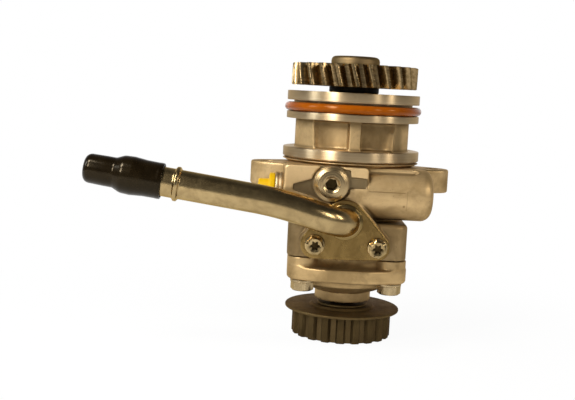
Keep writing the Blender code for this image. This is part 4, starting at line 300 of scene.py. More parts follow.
def casting(name, distance, s, material, stands=(), **marks):
    # a piece from its distance field; cavity says how closed in a point is, and each mark is worked out there
    points, quads, cavity = surfaceNet(distance, s["low"], s["high"], s["step"])
    values = {"cavity": cavity, **{label: mark(*points.T) for label, mark in marks.items()}}
    piece(name, points, quads, material, slotName=s["slot"], stands=stands, sharp=48.0, marks=values)
    print(name, len(quads), "quads")


print("helpers ready")


# Steps that the materials are put together from, each in the node tree that its first socket belongs to

def addNode(tree, kind, links=(), **values):
    # a node with its settings; an input, by name or number, is linked to a socket or takes a plain value
    node = tree.nodes.new(kind)
    for key, value in values.items():
        setattr(node, key, value)
    for key, source in links:
        socket = node.inputs[key]
        if hasattr(source, "is_linked"):
            tree.links.new(source, socket)
        else:
            socket.default_value = (*source, 1.0) if socket.type == "RGBA" else source
    return node


def calc(operation, *terms):
    tree = next(term.id_data for term in terms if hasattr(term, "is_linked"))
    return addNode(tree, "ShaderNodeMath", enumerate(terms), operation=operation).outputs[0]


def times(first, *others):
    for other in others:
        first = calc("MULTIPLY", first, other)
    return first


def noiseOut(place, scale, detail, rough, distortion=0.0):
    return addNode(place.id_data, "ShaderNodeTexNoise", [
        ("Vector", place), ("Scale", scale), ("Detail", detail), ("Roughness", rough),
        ("Distortion", distortion)]).outputs["Fac"]


def ramp(value, low, high, lowOut=0.0, highOut=1.0):
    # a soft step from one output to the other as the value goes from low to high; it runs the other way
    # where low is above high
    return addNode(value.id_data, "ShaderNodeMapRange", [
        ("Value", value), ("From Min", low), ("From Max", high), ("To Min", lowOut), ("To Max", highOut)],
        interpolation_type="SMOOTHSTEP").outputs["Result"]


def mixColour(share, first, second):
    return addNode(share.id_data, "ShaderNodeMix", [(0, share), (6, first), (7, second)],
                   data_type="RGBA").outputs[2]


def partsOf(place):
    return addNode(place.id_data, "ShaderNodeSeparateXYZ", [(0, place)]).outputs


def distanceFrom(place, middle=(0.0, 0.0, 0.0), keep=None):
    # distance from a point in metres; keep leaves out the directions that it gives a 0
    if keep:
        place = addNode(place.id_data, "ShaderNodeVectorMath", [(0, place), (1, keep)],
                        operation="MULTIPLY").outputs[0]
    return addNode(place.id_data, "ShaderNodeVectorMath", [(0, place), (1, middle)],
                   operation="DISTANCE").outputs["Value"]


def zone(place, *edges):
    # a mask with soft edges: each names an axis and the millimetres from which, and to which, the mask rises
    parts = partsOf(place)
    return times(*[ramp(parts["xyz".index(axis)], low * mm, high * mm) for axis, low, high in edges])


def attribute(place, label):
    return addNode(place.id_data, "ShaderNodeAttribute", attribute_name=label).outputs["Fac"]


# Shader groups, each built once: all take the place on the object and some numbers, and put out numbers

def startGroup(name, **numbers):
    tree = bpy.data.node_groups.new(name, "ShaderNodeTree")
    tree.interface.new_socket(name="Place", in_out="INPUT", socket_type="NodeSocketVector")
    for label, value in numbers.items():
        socket = tree.interface.new_socket(name=label, in_out="INPUT", socket_type="NodeSocketFloat")
        socket.default_value = value
    return tree, tree.nodes.new("NodeGroupInput").outputs


def endGroup(tree, **results):
    for label in results:
        tree.interface.new_socket(name=label, in_out="OUTPUT", socket_type="NodeSocketFloat")
    end = tree.nodes.new("NodeGroupOutput")
    for label, source in results.items():
        tree.links.new(source, end.inputs[label])
    return tree


def buildCastGrain():
    # cast skin: fine pits and lumps, a larger cloudy tone, and a few dark specks
    tree, start = startGroup("castGrain", Fine=900.0, Cloud=55.0)
    place, fineScale = start["Place"], start["Fine"]
    fine = noiseOut(place, fineScale, 4.0, 0.6)
    middle = noiseOut(place, times(fineScale, 0.28), 3.0, 0.5)
    cloud = noiseOut(place, start["Cloud"], 4.0, 0.6, 0.4)
    speck = noiseOut(place, times(fineScale, 0.6), 1.0, 0.5)
    height = calc("MULTIPLY_ADD", fine, 0.55, times(middle, 0.45))
    return endGroup(tree, Height=height, Tone=cloud, Specks=ramp(speck, 0.70, 0.78))


def buildTurnedLines():
    # lathe lines: rings that step quickly along the turning axis and out from it, and not at all round it
    tree, start = startGroup("turnedLines", Pitch=4000.0)
    place, pitch = start["Place"], start["Pitch"]
    outward = times(distanceFrom(place, keep=(1.0, 1.0, 0.0)), pitch)
    along = times(partsOf(place)[2], pitch)
    rings = addNode(tree, "ShaderNodeCombineXYZ", [(0, outward), (1, along)]).outputs[0]
    return endGroup(tree, Height=noiseOut(rings, 1.0, 2.0, 0.6), Tone=noiseOut(rings, 0.16, 1.0, 0.5))


def buildStain():
    # blotches where oil, dust or passivation has dried: soft patches broken up by a finer noise
    tree, start = startGroup("stain", Scale=70.0, Amount=0.5)
    broad = noiseOut(start["Place"], start["Scale"], 5.0, 0.62, 0.6)
    edge = calc("SUBTRACT", 0.78, times(start["Amount"], 0.45))
    return endGroup(tree, Mask=ramp(broad, edge, calc("ADD", edge, 0.16)))


shaderGroups = {"castGrain": buildCastGrain(), "turnedLines": buildTurnedLines(), "stain": buildStain()}


def useGroup(name, place, **numbers):
    return addNode(place.id_data, "ShaderNodeGroup", [("Place", place), *numbers.items()],
                   node_tree=shaderGroups[name]).outputs


# Materials; a look holds colours, sizes of patterns per metre, shares from 0 to 1, and bump in millimetres

def startMaterial(name, look):
    # what is even all over goes straight onto the shader
    material = bpy.data.materials.new(name)
    material.use_nodes = True
    shader = material.node_tree.nodes["Principled BSDF"]
    sockets = {"metallic": "Metallic", "specular": "Specular IOR Level", "smear": "Anisotropic"}
    for key, socket in sockets.items():
        if key in look:
            shader.inputs[socket].default_value = look[key]
    if "tint" in look:
        shader.inputs["Specular Tint"].default_value = (*look["tint"], 1.0)
    return material, shader, material.node_tree.nodes.new("ShaderNodeTexCoord").outputs["Object"]


def endMaterial(shader, colour, rough, height, bump):
    # what changes over the surface feeds the shader's colour, roughness and normal
    tree = shader.id_data
    tree.links.new(colour, shader.inputs["Base Color"])
    tree.links.new(rough, shader.inputs["Roughness"])
    raised = addNode(tree, "ShaderNodeBump", [("Height", height), ("Distance", bump * mm), ("Strength", 1.0)])
    tree.links.new(raised.outputs["Normal"], shader.inputs["Normal"])


def stainMask(place, look):
    return useGroup("stain", place, Scale=look["stainScale"], Amount=look["stainAmount"])["Mask"]


def skin(place, look):
    # the grain, the stain, and the dark and pale colours mixed by the grain's tone
    grain = useGroup("castGrain", place, Fine=look["fine"], Cloud=look["cloud"])
    colour = mixColour(ramp(grain["Tone"], *look["tone"]), look["dark"], look["pale"])
    return grain, stainMask(place, look), colour


markSet = {
    # where the body's marks are, in millimetres: see zone
    "front": [("y", -38.5, -40.0)], "partingZ": 98.3, "partingX": [("x", 9.5, 10.5), ("x", 33.5, 31.0)],
    "partingHalf": 0.16, "waver": (260.0, 0.7), "endX": 33.5, "endZ": [("z", 86.0, 89.0), ("z", 100.5, 99.0)],
    "endHalf": 0.14, "lineShare": 0.75, "endShare": 0.35, "pitAt": (31.8, -42.5, 90.5), "pit": (1.2, 0.5),
    "pitShare": 0.8, "mark": (0.20, 0.125, 0.05),
    # painted shade on the block below the valve boss, stronger to the left, then painted light on the pad's
    # front face
    "blockShadeZ": [("z", 78.5, 76.5)], "blockShadeX": (-30.0, -10.0), "blockShadeLeft": 1.35, "blockShadeShares": (0.68, 0.50),
    "blockShade": (0.155, 0.103, 0.046),
    "padLightZone": [("x", -42.5, -41.8), ("x", 9.2, 8.6), ("y", -43.6, -44.0), ("z", 97.0, 101.0)],
    "padLightShare": 0.6, "pad": (0.88, 0.64, 0.34),
    # the cut colour is painted shade and dark reflection in the milled recess; the lower roughness there is
    # real
    "cutEdge": 0.25, "recessShadeShare": 0.8, "cut": (0.17, 0.125, 0.066), "cutSmoother": 0.08,
}


def thinLine(value, middle, half):
    # 1 on a thin line where the value passes the middle, 0 a little way off it; lengths in millimetres
    away = calc("ABSOLUTE", calc("SUBTRACT", value, middle * mm))
    return ramp(away, half * 2.2 * mm, half * mm)


def partingMarks(place):
    # the casting die's parting line and end mark on the front of the valve boss, and one blow hole
    s = markSet
    x, y, z = partsOf(place)
    waver = times(noiseOut(place, s["waver"][0], 2.0, 0.55), s["waver"][1] * mm)
    line = times(thinLine(calc("SUBTRACT", z, waver), s["partingZ"], s["partingHalf"]),
                 zone(place, *s["partingX"]), s["lineShare"])
    endMark = times(thinLine(x, s["endX"], s["endHalf"]), zone(place, *s["endZ"]), s["endShare"])
    away = distanceFrom(place, tuple(p * mm for p in s["pitAt"]))
    pit = times(ramp(away, s["pit"][0] * mm, s["pit"][1] * mm), s["pitShare"])
    return times(calc("MAXIMUM", calc("MAXIMUM", line, endMark), pit), zone(place, *s["front"]))


def bodyMarks(place, tone, colour, rough):
    # painted shade darkens the block below the valve boss, most to the left, and painted light brightens the
    # pad's front face
    s = markSet
    blockShade = times(zone(place, *s["blockShadeZ"]), ramp(tone, 0.25, 0.75, *s["blockShadeShares"]),
                 ramp(partsOf(place)[0], s["blockShadeX"][0] * mm, s["blockShadeX"][1] * mm, s["blockShadeLeft"], 1.0))
    colour = mixColour(blockShade, colour, s["blockShade"])
    colour = mixColour(times(zone(place, *s["padLightZone"]), s["padLightShare"]), colour, s["pad"])
    # where the attribute is above 0 the milled face is smoother, and its duller, darker colour is painted
    # shade and dark reflection in the recess
    cut = ramp(attribute(place, "milled"), -s["cutEdge"], s["cutEdge"])
    colour = mixColour(times(cut, s["recessShadeShare"]), colour, s["cut"])
    colour = mixColour(partingMarks(place), colour, s["mark"])
    return colour, calc("MULTIPLY_ADD", cut, -s["cutSmoother"], rough)


def pocketShadow(place, look):
    # painted shadow under the land darkens the top of the neck's pockets, and painted shade the right front
    # one, which the light from the left misses
    low, high = look["pocketZ"]
    top = times(zone(place, ("z", high - 6.5, high - 0.5)), look["topShare"])
    right = times(zone(place, *look["darkPocket"]), look["darkShare"])
    return times(calc("MAXIMUM", top, right), zone(place, ("z", low, low + 0.8)))


def castMaterial(name, look):
    # bare die-cast aluminium: satin and pale, cloudy in tone, with a rougher skin where it is darker
    material, shader, place = startMaterial(name, look)
    grain, stain, colour = skin(place, look)
    tone, rough = grain["Tone"], look["rough"]
    colour = mixColour(times(stain, look["stainShare"]), colour, look["stain"])
    colour = mixColour(times(grain["Specks"], look["speckShare"]), colour, look["speck"])
    # painted shade darkens the creases, where the cavity mark is high, broken up by the grain's tone
    patchy = calc("MULTIPLY_ADD", tone, 0.3, calc("SUBTRACT", attribute(place, "cavity"), 0.15))
    colour = mixColour(ramp(patchy, 0.12, 0.60, 0.0, look["paintedShadeShare"]), colour, look["paintedShade"])
    rough = ramp(tone, 0.3, 0.7, rough + 0.08, rough - 0.06)
    # painted shadow and shade in the neck's pockets
    if "pocketZ" in look:
        colour = mixColour(pocketShadow(place, look), colour, look["paintedShade"])
    if look.get("marked"):
        colour, rough = bodyMarks(place, tone, colour, rough)
    endMaterial(shader, colour, rough, grain["Height"], look["bump"])
    return material


def turnedMaterial(name, look):
    # machined metal: fine rings round the axis, tone that drifts, and light handling marks
    material, shader, place = startMaterial(name, {"metallic": 1.0, **look})
    shader.inputs["Anisotropic Rotation"].default_value = 0.25  # streaks run across the rings
    if "axisAt" in look:  # rings round a line that runs front to back through this point
        place = addNode(place.id_data, "ShaderNodeMapping", [
            ("Vector", place), ("Location", (look["axisAt"][0] * mm, 0.0, look["axisAt"][1] * mm)),
            ("Rotation", (math.pi / 2, 0.0, 0.0))], vector_type="TEXTURE").outputs["Vector"]
    lines = useGroup("turnedLines", place, Pitch=look["pitch"])
    stain, rough = stainMask(place, look), look["rough"]
    colour = mixColour(ramp(lines["Tone"], 0.3, 0.7), look["dark"], look["pale"])
    colour = mixColour(times(stain, look["stainShare"]), colour, look["stain"])
    rough = ramp(lines["Height"], 0.3, 0.7, rough - 0.05, rough + 0.08)
    rough = calc("MULTIPLY_ADD", stain, 0.12, rough)
    if "hubR" in look:  # the gear's hub is duller and darker than its ground teeth
        radius = distanceFrom(place, keep=(1.0, 1.0, 0.0))
        hub = ramp(radius, (look["hubR"] + 0.6) * mm, look["hubR"] * mm)
        rough = calc("MULTIPLY_ADD", hub, look["hubDull"], rough)
        colour = mixColour(times(hub, look["hubShare"]), colour, look["stain"])
    endMaterial(shader, colour, rough, lines["Height"], look["bump"])
    return material


def platedMaterial(name, look):
    # zinc plating with a yellow passivation that clouds from straw to olive and dulls in patches
    look = {"metallic": 1.0, "tint": (0.85, 0.72, 0.50), "tone": (0.34, 0.66), "spread": 1.0, **look}
    material, shader, place = startMaterial(name, look)
    grain, stain, colour = skin(place, look)
    colour = mixColour(times(stain, 0.5), colour, look["stain"])
    if "collar" in look:  # the face of the collar that beds on the plate is darkened to olive, painted shade against the pale floor reflection in it
        away = distanceFrom(place, (pipePort[0] * mm, 0.0, pipePort[1] * mm), (1.0, 0.0, 1.0))
        outer = ramp(away, look["collarR"][0] * mm, look["collarR"][1] * mm)
        collar = times(outer, zone(place, *look["collarY"]), look["collarShadeShare"])
        colour = mixColour(collar, colour, look["collar"])
    rough, spread = look["rough"], look["spread"]  # spread says how much the roughness wanders
    rough = ramp(grain["Height"], 0.35, 0.65, rough - 0.06 * spread, rough + 0.08 * spread)
    rough = calc("MULTIPLY_ADD", stain, 0.10 * spread, rough)
    endMaterial(shader, colour, rough, grain["Height"], look["bump"])
    return material


def toothedMaterial(name, look):
    # sintered steel: dull and brown, with paler metal showing on the floors between the teeth, and painted
    # shade on the teeth under the flange
    material, shader, place = startMaterial(name, look)
    grain, stain, colour = skin(place, look)
    radius, rough = distanceFrom(place, keep=(1.0, 1.0, 0.0)), look["rough"]
    floorR, floorTop = look["floorR"], look["floorTop"]
    under = ramp(radius, (floorR + 1.2) * mm, floorR * mm)
    over = ramp(radius, (floorR - 1.2) * mm, (floorR - 0.8) * mm)
    floorMask = times(under, over, zone(place, ("z", floorTop, floorTop - 0.8)))
    colour = mixColour(floorMask, colour, look["floor"])
    # painted shade darkens the teeth below the flange's underside
    shadedTeeth = times(zone(place, ("z", floorTop + 0.2, floorTop - 0.6)), look["toothShadeShare"])
    colour = mixColour(shadedTeeth, colour, look["toothShade"])
    colour = mixColour(times(stain, 0.5), colour, look["stain"])
    rough = ramp(grain["Height"], 0.35, 0.65, rough - 0.05, rough + 0.08)
    endMaterial(shader, colour, rough, grain["Height"], look["bump"])
    return material


def mouldedMaterial(name, look):
    # rubber and moulded plastic: even colour, a soft skin, faint waves and a little dust
    material, shader, place = startMaterial(name, look)
    grain, stain, colour = skin(place, {"tone": (0.3, 0.7), **look})
    colour = mixColour(times(stain, look["dust"]), colour, look["stain"])
    rough, spread = look["rough"], look.get("spread", 1.0)
    rough = ramp(grain["Height"], 0.3, 0.7, rough - 0.04 * spread, rough + 0.06 * spread)
    rough = calc("MULTIPLY_ADD", stain, look["dust"], rough)
    endMaterial(shader, colour, rough, grain["Tone"], look["bump"])
    return material


castLook = {
    "metallic": 0.84, "tint": (0.85, 0.70, 0.50), "tone": (0.32, 0.68), "dark": (0.35, 0.238, 0.108),
    "pale": (0.60, 0.425, 0.215), "stain": (0.20, 0.132, 0.056), "paintedShade": (0.11, 0.070, 0.028),
    "speck": (0.12, 0.075, 0.03), "fine": 1500.0, "cloud": 46.0, "stainScale": 75.0, "stainAmount": 0.5,
    "stainShare": 0.45, "speckShare": 0.35, "paintedShadeShare": 0.75, "rough": 0.48, "bump": 0.035}
aluminium = castMaterial("castAluminium", {
    **castLook, "pocketZ": (122.1, 139.8), "topShare": 0.62, "darkShare": 0.55,
    "darkPocket": [("x", 4.0, 4.6), ("x", 33.0, 30.0), ("y", -18.0, -23.0)]})
bodyAluminium = castMaterial("bodyAluminium", {**castLook, "marked": True})
coverAluminium = castMaterial("coverAluminium", {
    **castLook, "pale": (0.54, 0.375, 0.180), "paintedShade": (0.29, 0.195, 0.090), "cloud": 52.0})
machined = turnedMaterial("machinedAluminium", {
    "pitch": 9000.0, "dark": (0.47, 0.345, 0.195), "pale": (0.56, 0.43, 0.265), "stain": (0.36, 0.24, 0.115),
    "stainScale": 60.0, "stainAmount": 0.3, "stainShare": 0.3, "rough": 0.40, "bump": 0.0012, "smear": 0.96,
    "tint": (0.85, 0.74, 0.58)})
gearSteel = turnedMaterial("gearSteel", {
    "pitch": 2600.0, "dark": (0.18, 0.122, 0.055), "pale": (0.30, 0.21, 0.105), "stain": (0.10, 0.064, 0.026),
    "stainScale": 110.0, "stainAmount": 0.45, "stainShare": 0.5, "rough": 0.24, "bump": 0.003, "hubR": 20.5,
    "hubDull": 0.26, "hubShare": 0.45, "tint": (0.80, 0.66, 0.45)})
sinteredSteel = turnedMaterial("sinteredSteel", {
    "pitch": 1800.0, "dark": (0.068, 0.044, 0.017), "pale": (0.11, 0.075, 0.032),
    "stain": (0.045, 0.028, 0.010), "stainScale": 90.0, "stainAmount": 0.45, "stainShare": 0.5,
    "rough": 0.46, "bump": 0.006})
couplingSteel = toothedMaterial("couplingSteel", {
    "metallic": 0.75, "tint": (0.55, 0.40, 0.22), "tone": (0.34, 0.66), "dark": (0.078, 0.051, 0.020),
    "pale": (0.125, 0.084, 0.034), "stain": (0.050, 0.031, 0.012), "floor": (0.16, 0.108, 0.046),
    "floorR": 30.0, "floorTop": 16.8, "toothShade": (0.020, 0.013, 0.005), "toothShadeShare": 0.42, "fine": 700.0,
    "cloud": 60.0, "stainScale": 90.0, "stainAmount": 0.4, "rough": 0.48, "bump": 0.012})
brightSteel = turnedMaterial("brightSteel", {
    "pitch": 3600.0, "dark": (0.34, 0.245, 0.135), "pale": (0.50, 0.375, 0.215), "stain": (0.26, 0.17, 0.08),
    "stainScale": 90.0, "stainAmount": 0.35, "stainShare": 0.4, "rough": 0.26, "bump": 0.002})
plugSteel = turnedMaterial("plugSteel", {
    "pitch": 2400.0, "dark": (0.34, 0.245, 0.125), "pale": (0.46, 0.335, 0.175), "stain": (0.26, 0.17, 0.08),
    "stainScale": 90.0, "stainAmount": 0.3, "stainShare": 0.35, "rough": 0.27, "bump": 0.005,
    "axisAt": screwPlugAt, "tint": (0.80, 0.66, 0.45)})
bearingSteel = turnedMaterial("bearingSteel", {
    "pitch": 4200.0, "dark": (0.42, 0.36, 0.27), "pale": (0.60, 0.53, 0.42), "stain": (0.34, 0.27, 0.18),
    "stainScale": 90.0, "stainAmount": 0.2, "stainShare": 0.3, "rough": 0.18, "bump": 0.001})
bronze = turnedMaterial("bushBronze", {
    "pitch": 3000.0, "dark": (0.36, 0.22, 0.08), "pale": (0.52, 0.34, 0.14), "stain": (0.24, 0.14, 0.05),
    "stainScale": 80.0, "stainAmount": 0.35, "stainShare": 0.4, "rough": 0.36, "bump": 0.003})
pipeZinc = platedMaterial("pipeZinc", {
    "dark": (0.33, 0.236, 0.112), "pale": (0.445, 0.326, 0.158), "stain": (0.22, 0.155, 0.07),
    "fine": 1200.0, "collar": (0.20, 0.135, 0.046), "collarShadeShare": 0.85, "collarR": (8.9, 9.3),
    "collarY": [("y", -52.0, -51.5)], "cloud": 110.0, "stainScale": 150.0, "stainAmount": 0.32,
    "rough": 0.23, "bump": 0.0010, "spread": 0.35})
yellowZinc = platedMaterial("yellowZinc", {
    "dark": (0.175, 0.109, 0.035), "pale": (0.26, 0.168, 0.057), "stain": (0.12, 0.078, 0.026), "fine": 600.0,
    "cloud": 75.0, "stainScale": 95.0, "stainAmount": 0.45, "rough": 0.30, "bump": 0.004})
plateBoltZinc = platedMaterial("plateBoltZinc", {
    "dark": (0.31, 0.222, 0.103), "pale": (0.455, 0.335, 0.165), "stain": (0.20, 0.14, 0.06), "fine": 700.0,
    "cloud": 150.0, "stainScale": 190.0, "stainAmount": 0.4, "rough": 0.20, "bump": 0.003})
# near-black cups that stand for the shade deep in sockets and recesses: painted shade
socketShade = platedMaterial("socketShade", {
    "dark": (0.035, 0.022, 0.008), "pale": (0.060, 0.040, 0.016), "stain": (0.02, 0.013, 0.005),
    "fine": 900.0, "cloud": 200.0, "stainScale": 260.0, "stainAmount": 0.5, "rough": 0.34, "bump": 0.004})
boltZinc = platedMaterial("boltZinc", {
    "dark": (0.35, 0.262, 0.142), "pale": (0.475, 0.365, 0.21), "stain": (0.26, 0.185, 0.09), "fine": 700.0,
    "cloud": 120.0, "stainScale": 160.0, "stainAmount": 0.35, "rough": 0.30, "bump": 0.002})
unionZinc = platedMaterial("unionZinc", {
    "dark": (0.48, 0.36, 0.205), "pale": (0.60, 0.46, 0.275), "stain": (0.34, 0.245, 0.125), "fine": 700.0,
    "cloud": 120.0, "stainScale": 160.0, "stainAmount": 0.35, "rough": 0.46, "bump": 0.003})
orangeRubber = mouldedMaterial("orangeRubber", {
    "dark": (0.205, 0.045, 0.0012), "pale": (0.275, 0.064, 0.0016), "stain": (0.20, 0.06, 0.008),
    "fine": 800.0, "cloud": 60.0, "stainScale": 70.0, "stainAmount": 0.3, "dust": 0.03, "specular": 0.30,
    "tint": (1.0, 0.62, 0.30), "rough": 0.13, "bump": 0.0015})
blackRubber = mouldedMaterial("blackRubber", {
    "dark": (0.012, 0.009, 0.005), "pale": (0.022, 0.017, 0.010), "stain": (0.05, 0.04, 0.025), "fine": 900.0,
    "cloud": 80.0, "stainScale": 90.0, "stainAmount": 0.4, "dust": 0.2, "specular": 0.3,
    "rough": 0.5, "bump": 0.02})
blackVinyl = mouldedMaterial("blackVinyl", {
    "dark": (0.004, 0.0022, 0.0007), "pale": (0.009, 0.0055, 0.002), "stain": (0.020, 0.013, 0.006),
    "fine": 110.0, "cloud": 70.0, "stainScale": 80.0, "stainAmount": 0.35, "dust": 0.03, "specular": 0.22,
    "tint": (1.0, 0.82, 0.55), "rough": 0.19, "bump": 0.0025, "spread": 0.3})
yellowPlastic = mouldedMaterial("yellowPlastic", {
    "dark": (0.54, 0.32, 0.003), "pale": (0.61, 0.365, 0.004), "stain": (0.50, 0.33, 0.03), "fine": 900.0,
    "cloud": 90.0, "stainScale": 120.0, "stainAmount": 0.3, "dust": 0.10, "specular": 0.2,
    "tint": (1.0, 0.85, 0.4), "rough": 0.42, "bump": 0.01})
copper = turnedMaterial("washerCopper", {
    "pitch": 3000.0, "dark": (0.30, 0.19, 0.10), "pale": (0.42, 0.27, 0.15), "stain": (0.22, 0.13, 0.06),
    "stainScale": 80.0, "stainAmount": 0.35, "stainShare": 0.4, "rough": 0.32, "bump": 0.003})
print("materials ready")


# Pump body casting

bodySet = {
    "step": 0.8, "low": (-66.0, -48.5, 53.5), "high": (66.0, 40.0, 118.0), "slot": "cast_aluminium",
    "blockX": (-38.0, 36.6), "blockY": 37.5, "blockCorner": 9.5, "blockZ": (45.0, 78.0), "foot": 55.5,
    "coreR": 33.6, "coreZ": (45.0, 112.0), "mountZ": (96.4, 111.4), "earX": 53.2, "earR": 10.9,
    "mountR": 37.0, "discR": 38.0, "discZ": (106.0, 115.4), "bossY": -28.0, "bossZ": 96.3, "bossR": 16.1,
    "bossX": (-42.3, 50.2), "slab": [(-36.0, -31.0, 7.0), (35.2, -31.0, 7.0), (0.0, 0.0, 36.0)],
    "slabZ": (109.9, 112.6), "padX": (-41.8, 9.4), "padY": (-44.0, -20.0), "padZ": (98.0, 112.8),
    "reliefR": 10.9, "reliefY": (-46.0, -24.0),
    # each spot of the seat: x, z and radius
    "seat": [(-21.3, 65.2, 9.3), (16.6, 64.9, 8.3), (*pipePort, 13.8)], "seatY": (-44.0, -24.0),
    "rounding": {"block": 3.0, "core": 1.0, "boss": 6.8, "bossEnd": 0.8, "padTop": 2.4, "padFoot": 0.8,
                 "pad": 0.9, "relief": 0.5, "mount": 1.3, "disc": 0.3, "slab": 0.9, "seat": 1.0},
    "fillet": {"core": 1.8, "mount": 1.8, "boss": 1.5, "slab": 0.8, "pad": 0.7, "seat": 1.4, "disc": 0.8},
    # the milled recess: its depth, the round spot, and patches with their corners clockwise
    "recessY": -43.2, "recessR": 12.0,
    "patches": [[(-8.0, 99.9), (-8.0, 107.0), (8.6, 106.2), (8.8, 100.1)],
                [(-12.0, 100.0), (-12.0, 111.2), (-1.8, 110.9), (-0.9, 103.0)],
                [(-36.2, 97.4), (-36.2, 101.0), (-22.0, 105.6), (-20.0, 93.0)]],
    "seatSpot": (0.2, -44.0), "unionSpot": (11.2, -42.4), "roomR": 30.0, "roomTop": 84.4,
    # each bore: its radius, where it ends, and its chamfer
    "bores": {"shaft": (11.3, 107.2, 0), "seal": (16.6, 107.0, 0), "valve": (8.4, 41.0, 0.6),
              "pipe": (9.1, -34.6, 0.5), "inlet": (6.3, -19.0, 0), "plug": (7.4, -38.0, 0.4),
              "cover": (4.5, 71.8, 0.4), "plate": (3.4, -33.7, 0.4)},
    "earHoleR": 4.3, "earChamfer": 0.8, "milledFrom": -41.5,
}


def radial(a, b, centre):
    return np.hypot(a - centre[0], b - centre[1])


def cornerBand(x, z, corners):
    # distance to a four-sided outline, corners clockwise: the most that a point lies past any of its sides
    best = None
    for number in range(4):
        (x1, z1), (x2, z2) = corners[number], corners[(number + 1) % 4]
        length = math.hypot(x2 - x1, z2 - z1)
        past = ((z - z1) * (x2 - x1) - (x - x1) * (z2 - z1)) / length
        best = past if best is None else np.maximum(best, past)
    return best


def milledOutline(x, z):
    # a round spot face on the screw plug's axis, with three milled patches running out of it
    spot = radial(x, z, screwPlugAt) - bodySet["recessR"]
    patches = [cornerBand(x, z, corners) for corners in bodySet["patches"]]
    return np.minimum.reduce(np.broadcast_arrays(spot, *patches))


def bodyForms(x, y, z):
    # block, round core, mounting plate, valve boss, slab, milled pad, the pipe's seat and disc, in this order
    s, rounding = bodySet, bodySet["rounding"]
    low, high = s["blockX"]
    block = both(roundBox(x - (low + high) / 2, y, (high - low) / 2, s["blockY"], s["blockCorner"]),
                 between(z, *s["blockZ"]), rounding["block"])
    core = both(np.hypot(x, y) - s["coreR"], between(z, *s["coreZ"]), rounding["core"])
    boss = both(radial(y, z, (s["bossY"], s["bossZ"])) - s["bossR"], x - s["bossX"][1], rounding["boss"])
    boss = both(boss, s["bossX"][0] - x, rounding["bossEnd"])
    padOutline = both(between(x, *s["padX"]), z - s["padZ"][1], rounding["padTop"])
    pad = both(padOutline, s["padZ"][0] - z, rounding["padFoot"])
    pad = both(pad, between(y, *s["padY"]), rounding["pad"])
    ears = [(-s["earX"], 0.0, s["earR"]), (0.0, 0.0, s["mountR"]), (s["earX"], 0.0, s["earR"])]
    mount = both(belt(x, y, ears), between(z, *s["mountZ"]), rounding["mount"])
    disc = both(np.hypot(x, y) - s["discR"], between(z, *s["discZ"]), rounding["disc"])
    slab = both(belt(x, y, s["slab"]), between(z, *s["slabZ"]), rounding["slab"])
    seat = both(belt(x, z, s["seat"]), between(y, *s["seatY"]), rounding["seat"])
    return block, {"core": core, "mount": mount, "boss": boss, "slab": slab, "pad": pad, "seat": seat,
                   "disc": disc}


def bodyDistance(x, y, z):
    # the forms run together with small fillets, then recess, spot faces, bores and holes are taken out
    s = bodySet
    shape, forms = bodyForms(x, y, z)
    for name, form in forms.items():
        shape = blendMin(shape, form, s["fillet"][name])
    shape = blendMax(shape, s["foot"] - z, 0.4)
    # the milled recess round the screw plug, and the plug's own boss standing in it
    shape = blendMax(shape, -both(milledOutline(x, z), y - s["recessY"], 0.3), 0.3)
    relief = radial(x, z, screwPlugAt) - s["reliefR"]
    relief = both(relief, between(y, *s["reliefY"]), s["rounding"]["relief"])
    shape = blendMin(shape, relief, 0.5)
    # spot faces under the pipe's plate and the outlet union
    wider, face = s["seatSpot"]
    spot = np.maximum(belt(x, z, [(spotX, spotZ, r + wider) for spotX, spotZ, r in s["seat"]]), y - face)
    shape = blendMax(shape, -spot, 0.4)
    fromBoss = radial(y, z, (s["bossY"], s["bossZ"]))
    spot = np.maximum(fromBoss - s["unionSpot"][0], x - s["unionSpot"][1])
    shape = blendMax(shape, -spot, 0.4)
    # the room for the pumping group, then the bores: distance from each one's axis, and which way it ends
    radius = np.hypot(x, y)
    shape = blendMax(shape, -both(radius - s["roomR"], z - s["roomTop"], 0.5), 0.6)
    fromPipe = radial(x, z, pipePort)
    bores = [("shaft", radius, z, 1), ("seal", radius, z, -1), ("valve", fromBoss, x, 1),
             ("pipe", fromPipe, y, 1), ("inlet", fromPipe, y, 1), ("plug", radial(x, z, screwPlugAt), y, 1),
             ("cover", radial(np.abs(x), np.abs(y), coverBoltAt), z, 1)]
    bores += [("plate", radial(x, z, spot[:2]), y, 1) for spot in s["seat"][:2]]
    for name, away, along, side in bores:
        r, end, chamfer = s["bores"][name]
        hole = -np.maximum(away - r, side * (along - end))
        shape = blendMax(shape, hole, chamfer) if chamfer else np.maximum(shape, hole)
    return blendMax(shape, s["earHoleR"] - np.hypot(np.abs(x) - s["earX"], y), s["earChamfer"])


def milledMark(x, y, z):
    # above 0 inside the milled outline, on the front only
    return np.where(y < bodySet["milledFrom"], -milledOutline(x, z), -5.0)


casting("bodyCasting", bodyDistance, bodySet, bodyAluminium, ("housing",), milled=milledMark)


# Neck of the spigot with its four cored pockets

neckSet = {
    "step": 0.7, "low": (-44.8, -44.8, 116.0), "high": (44.8, 44.8, 144.8), "slot": "cast_aluminium",
    "outerR": 36.5, "neckZ": (119.0, 142.5), "coreR": 27.0, "coreTurn": 37.0, "mouthR": 50.5, "rib": 3.5,
    "end": 46.0, "draft": 5.0, "pocketZ": (122.1, 139.8), "wallRound": 7.0, "ribRound": 2.0, "endRound": 1.8,
    "collars": [(43.0, 117.0, 121.7), (41.6, 140.4, 143.5)], "bore": 20.3}


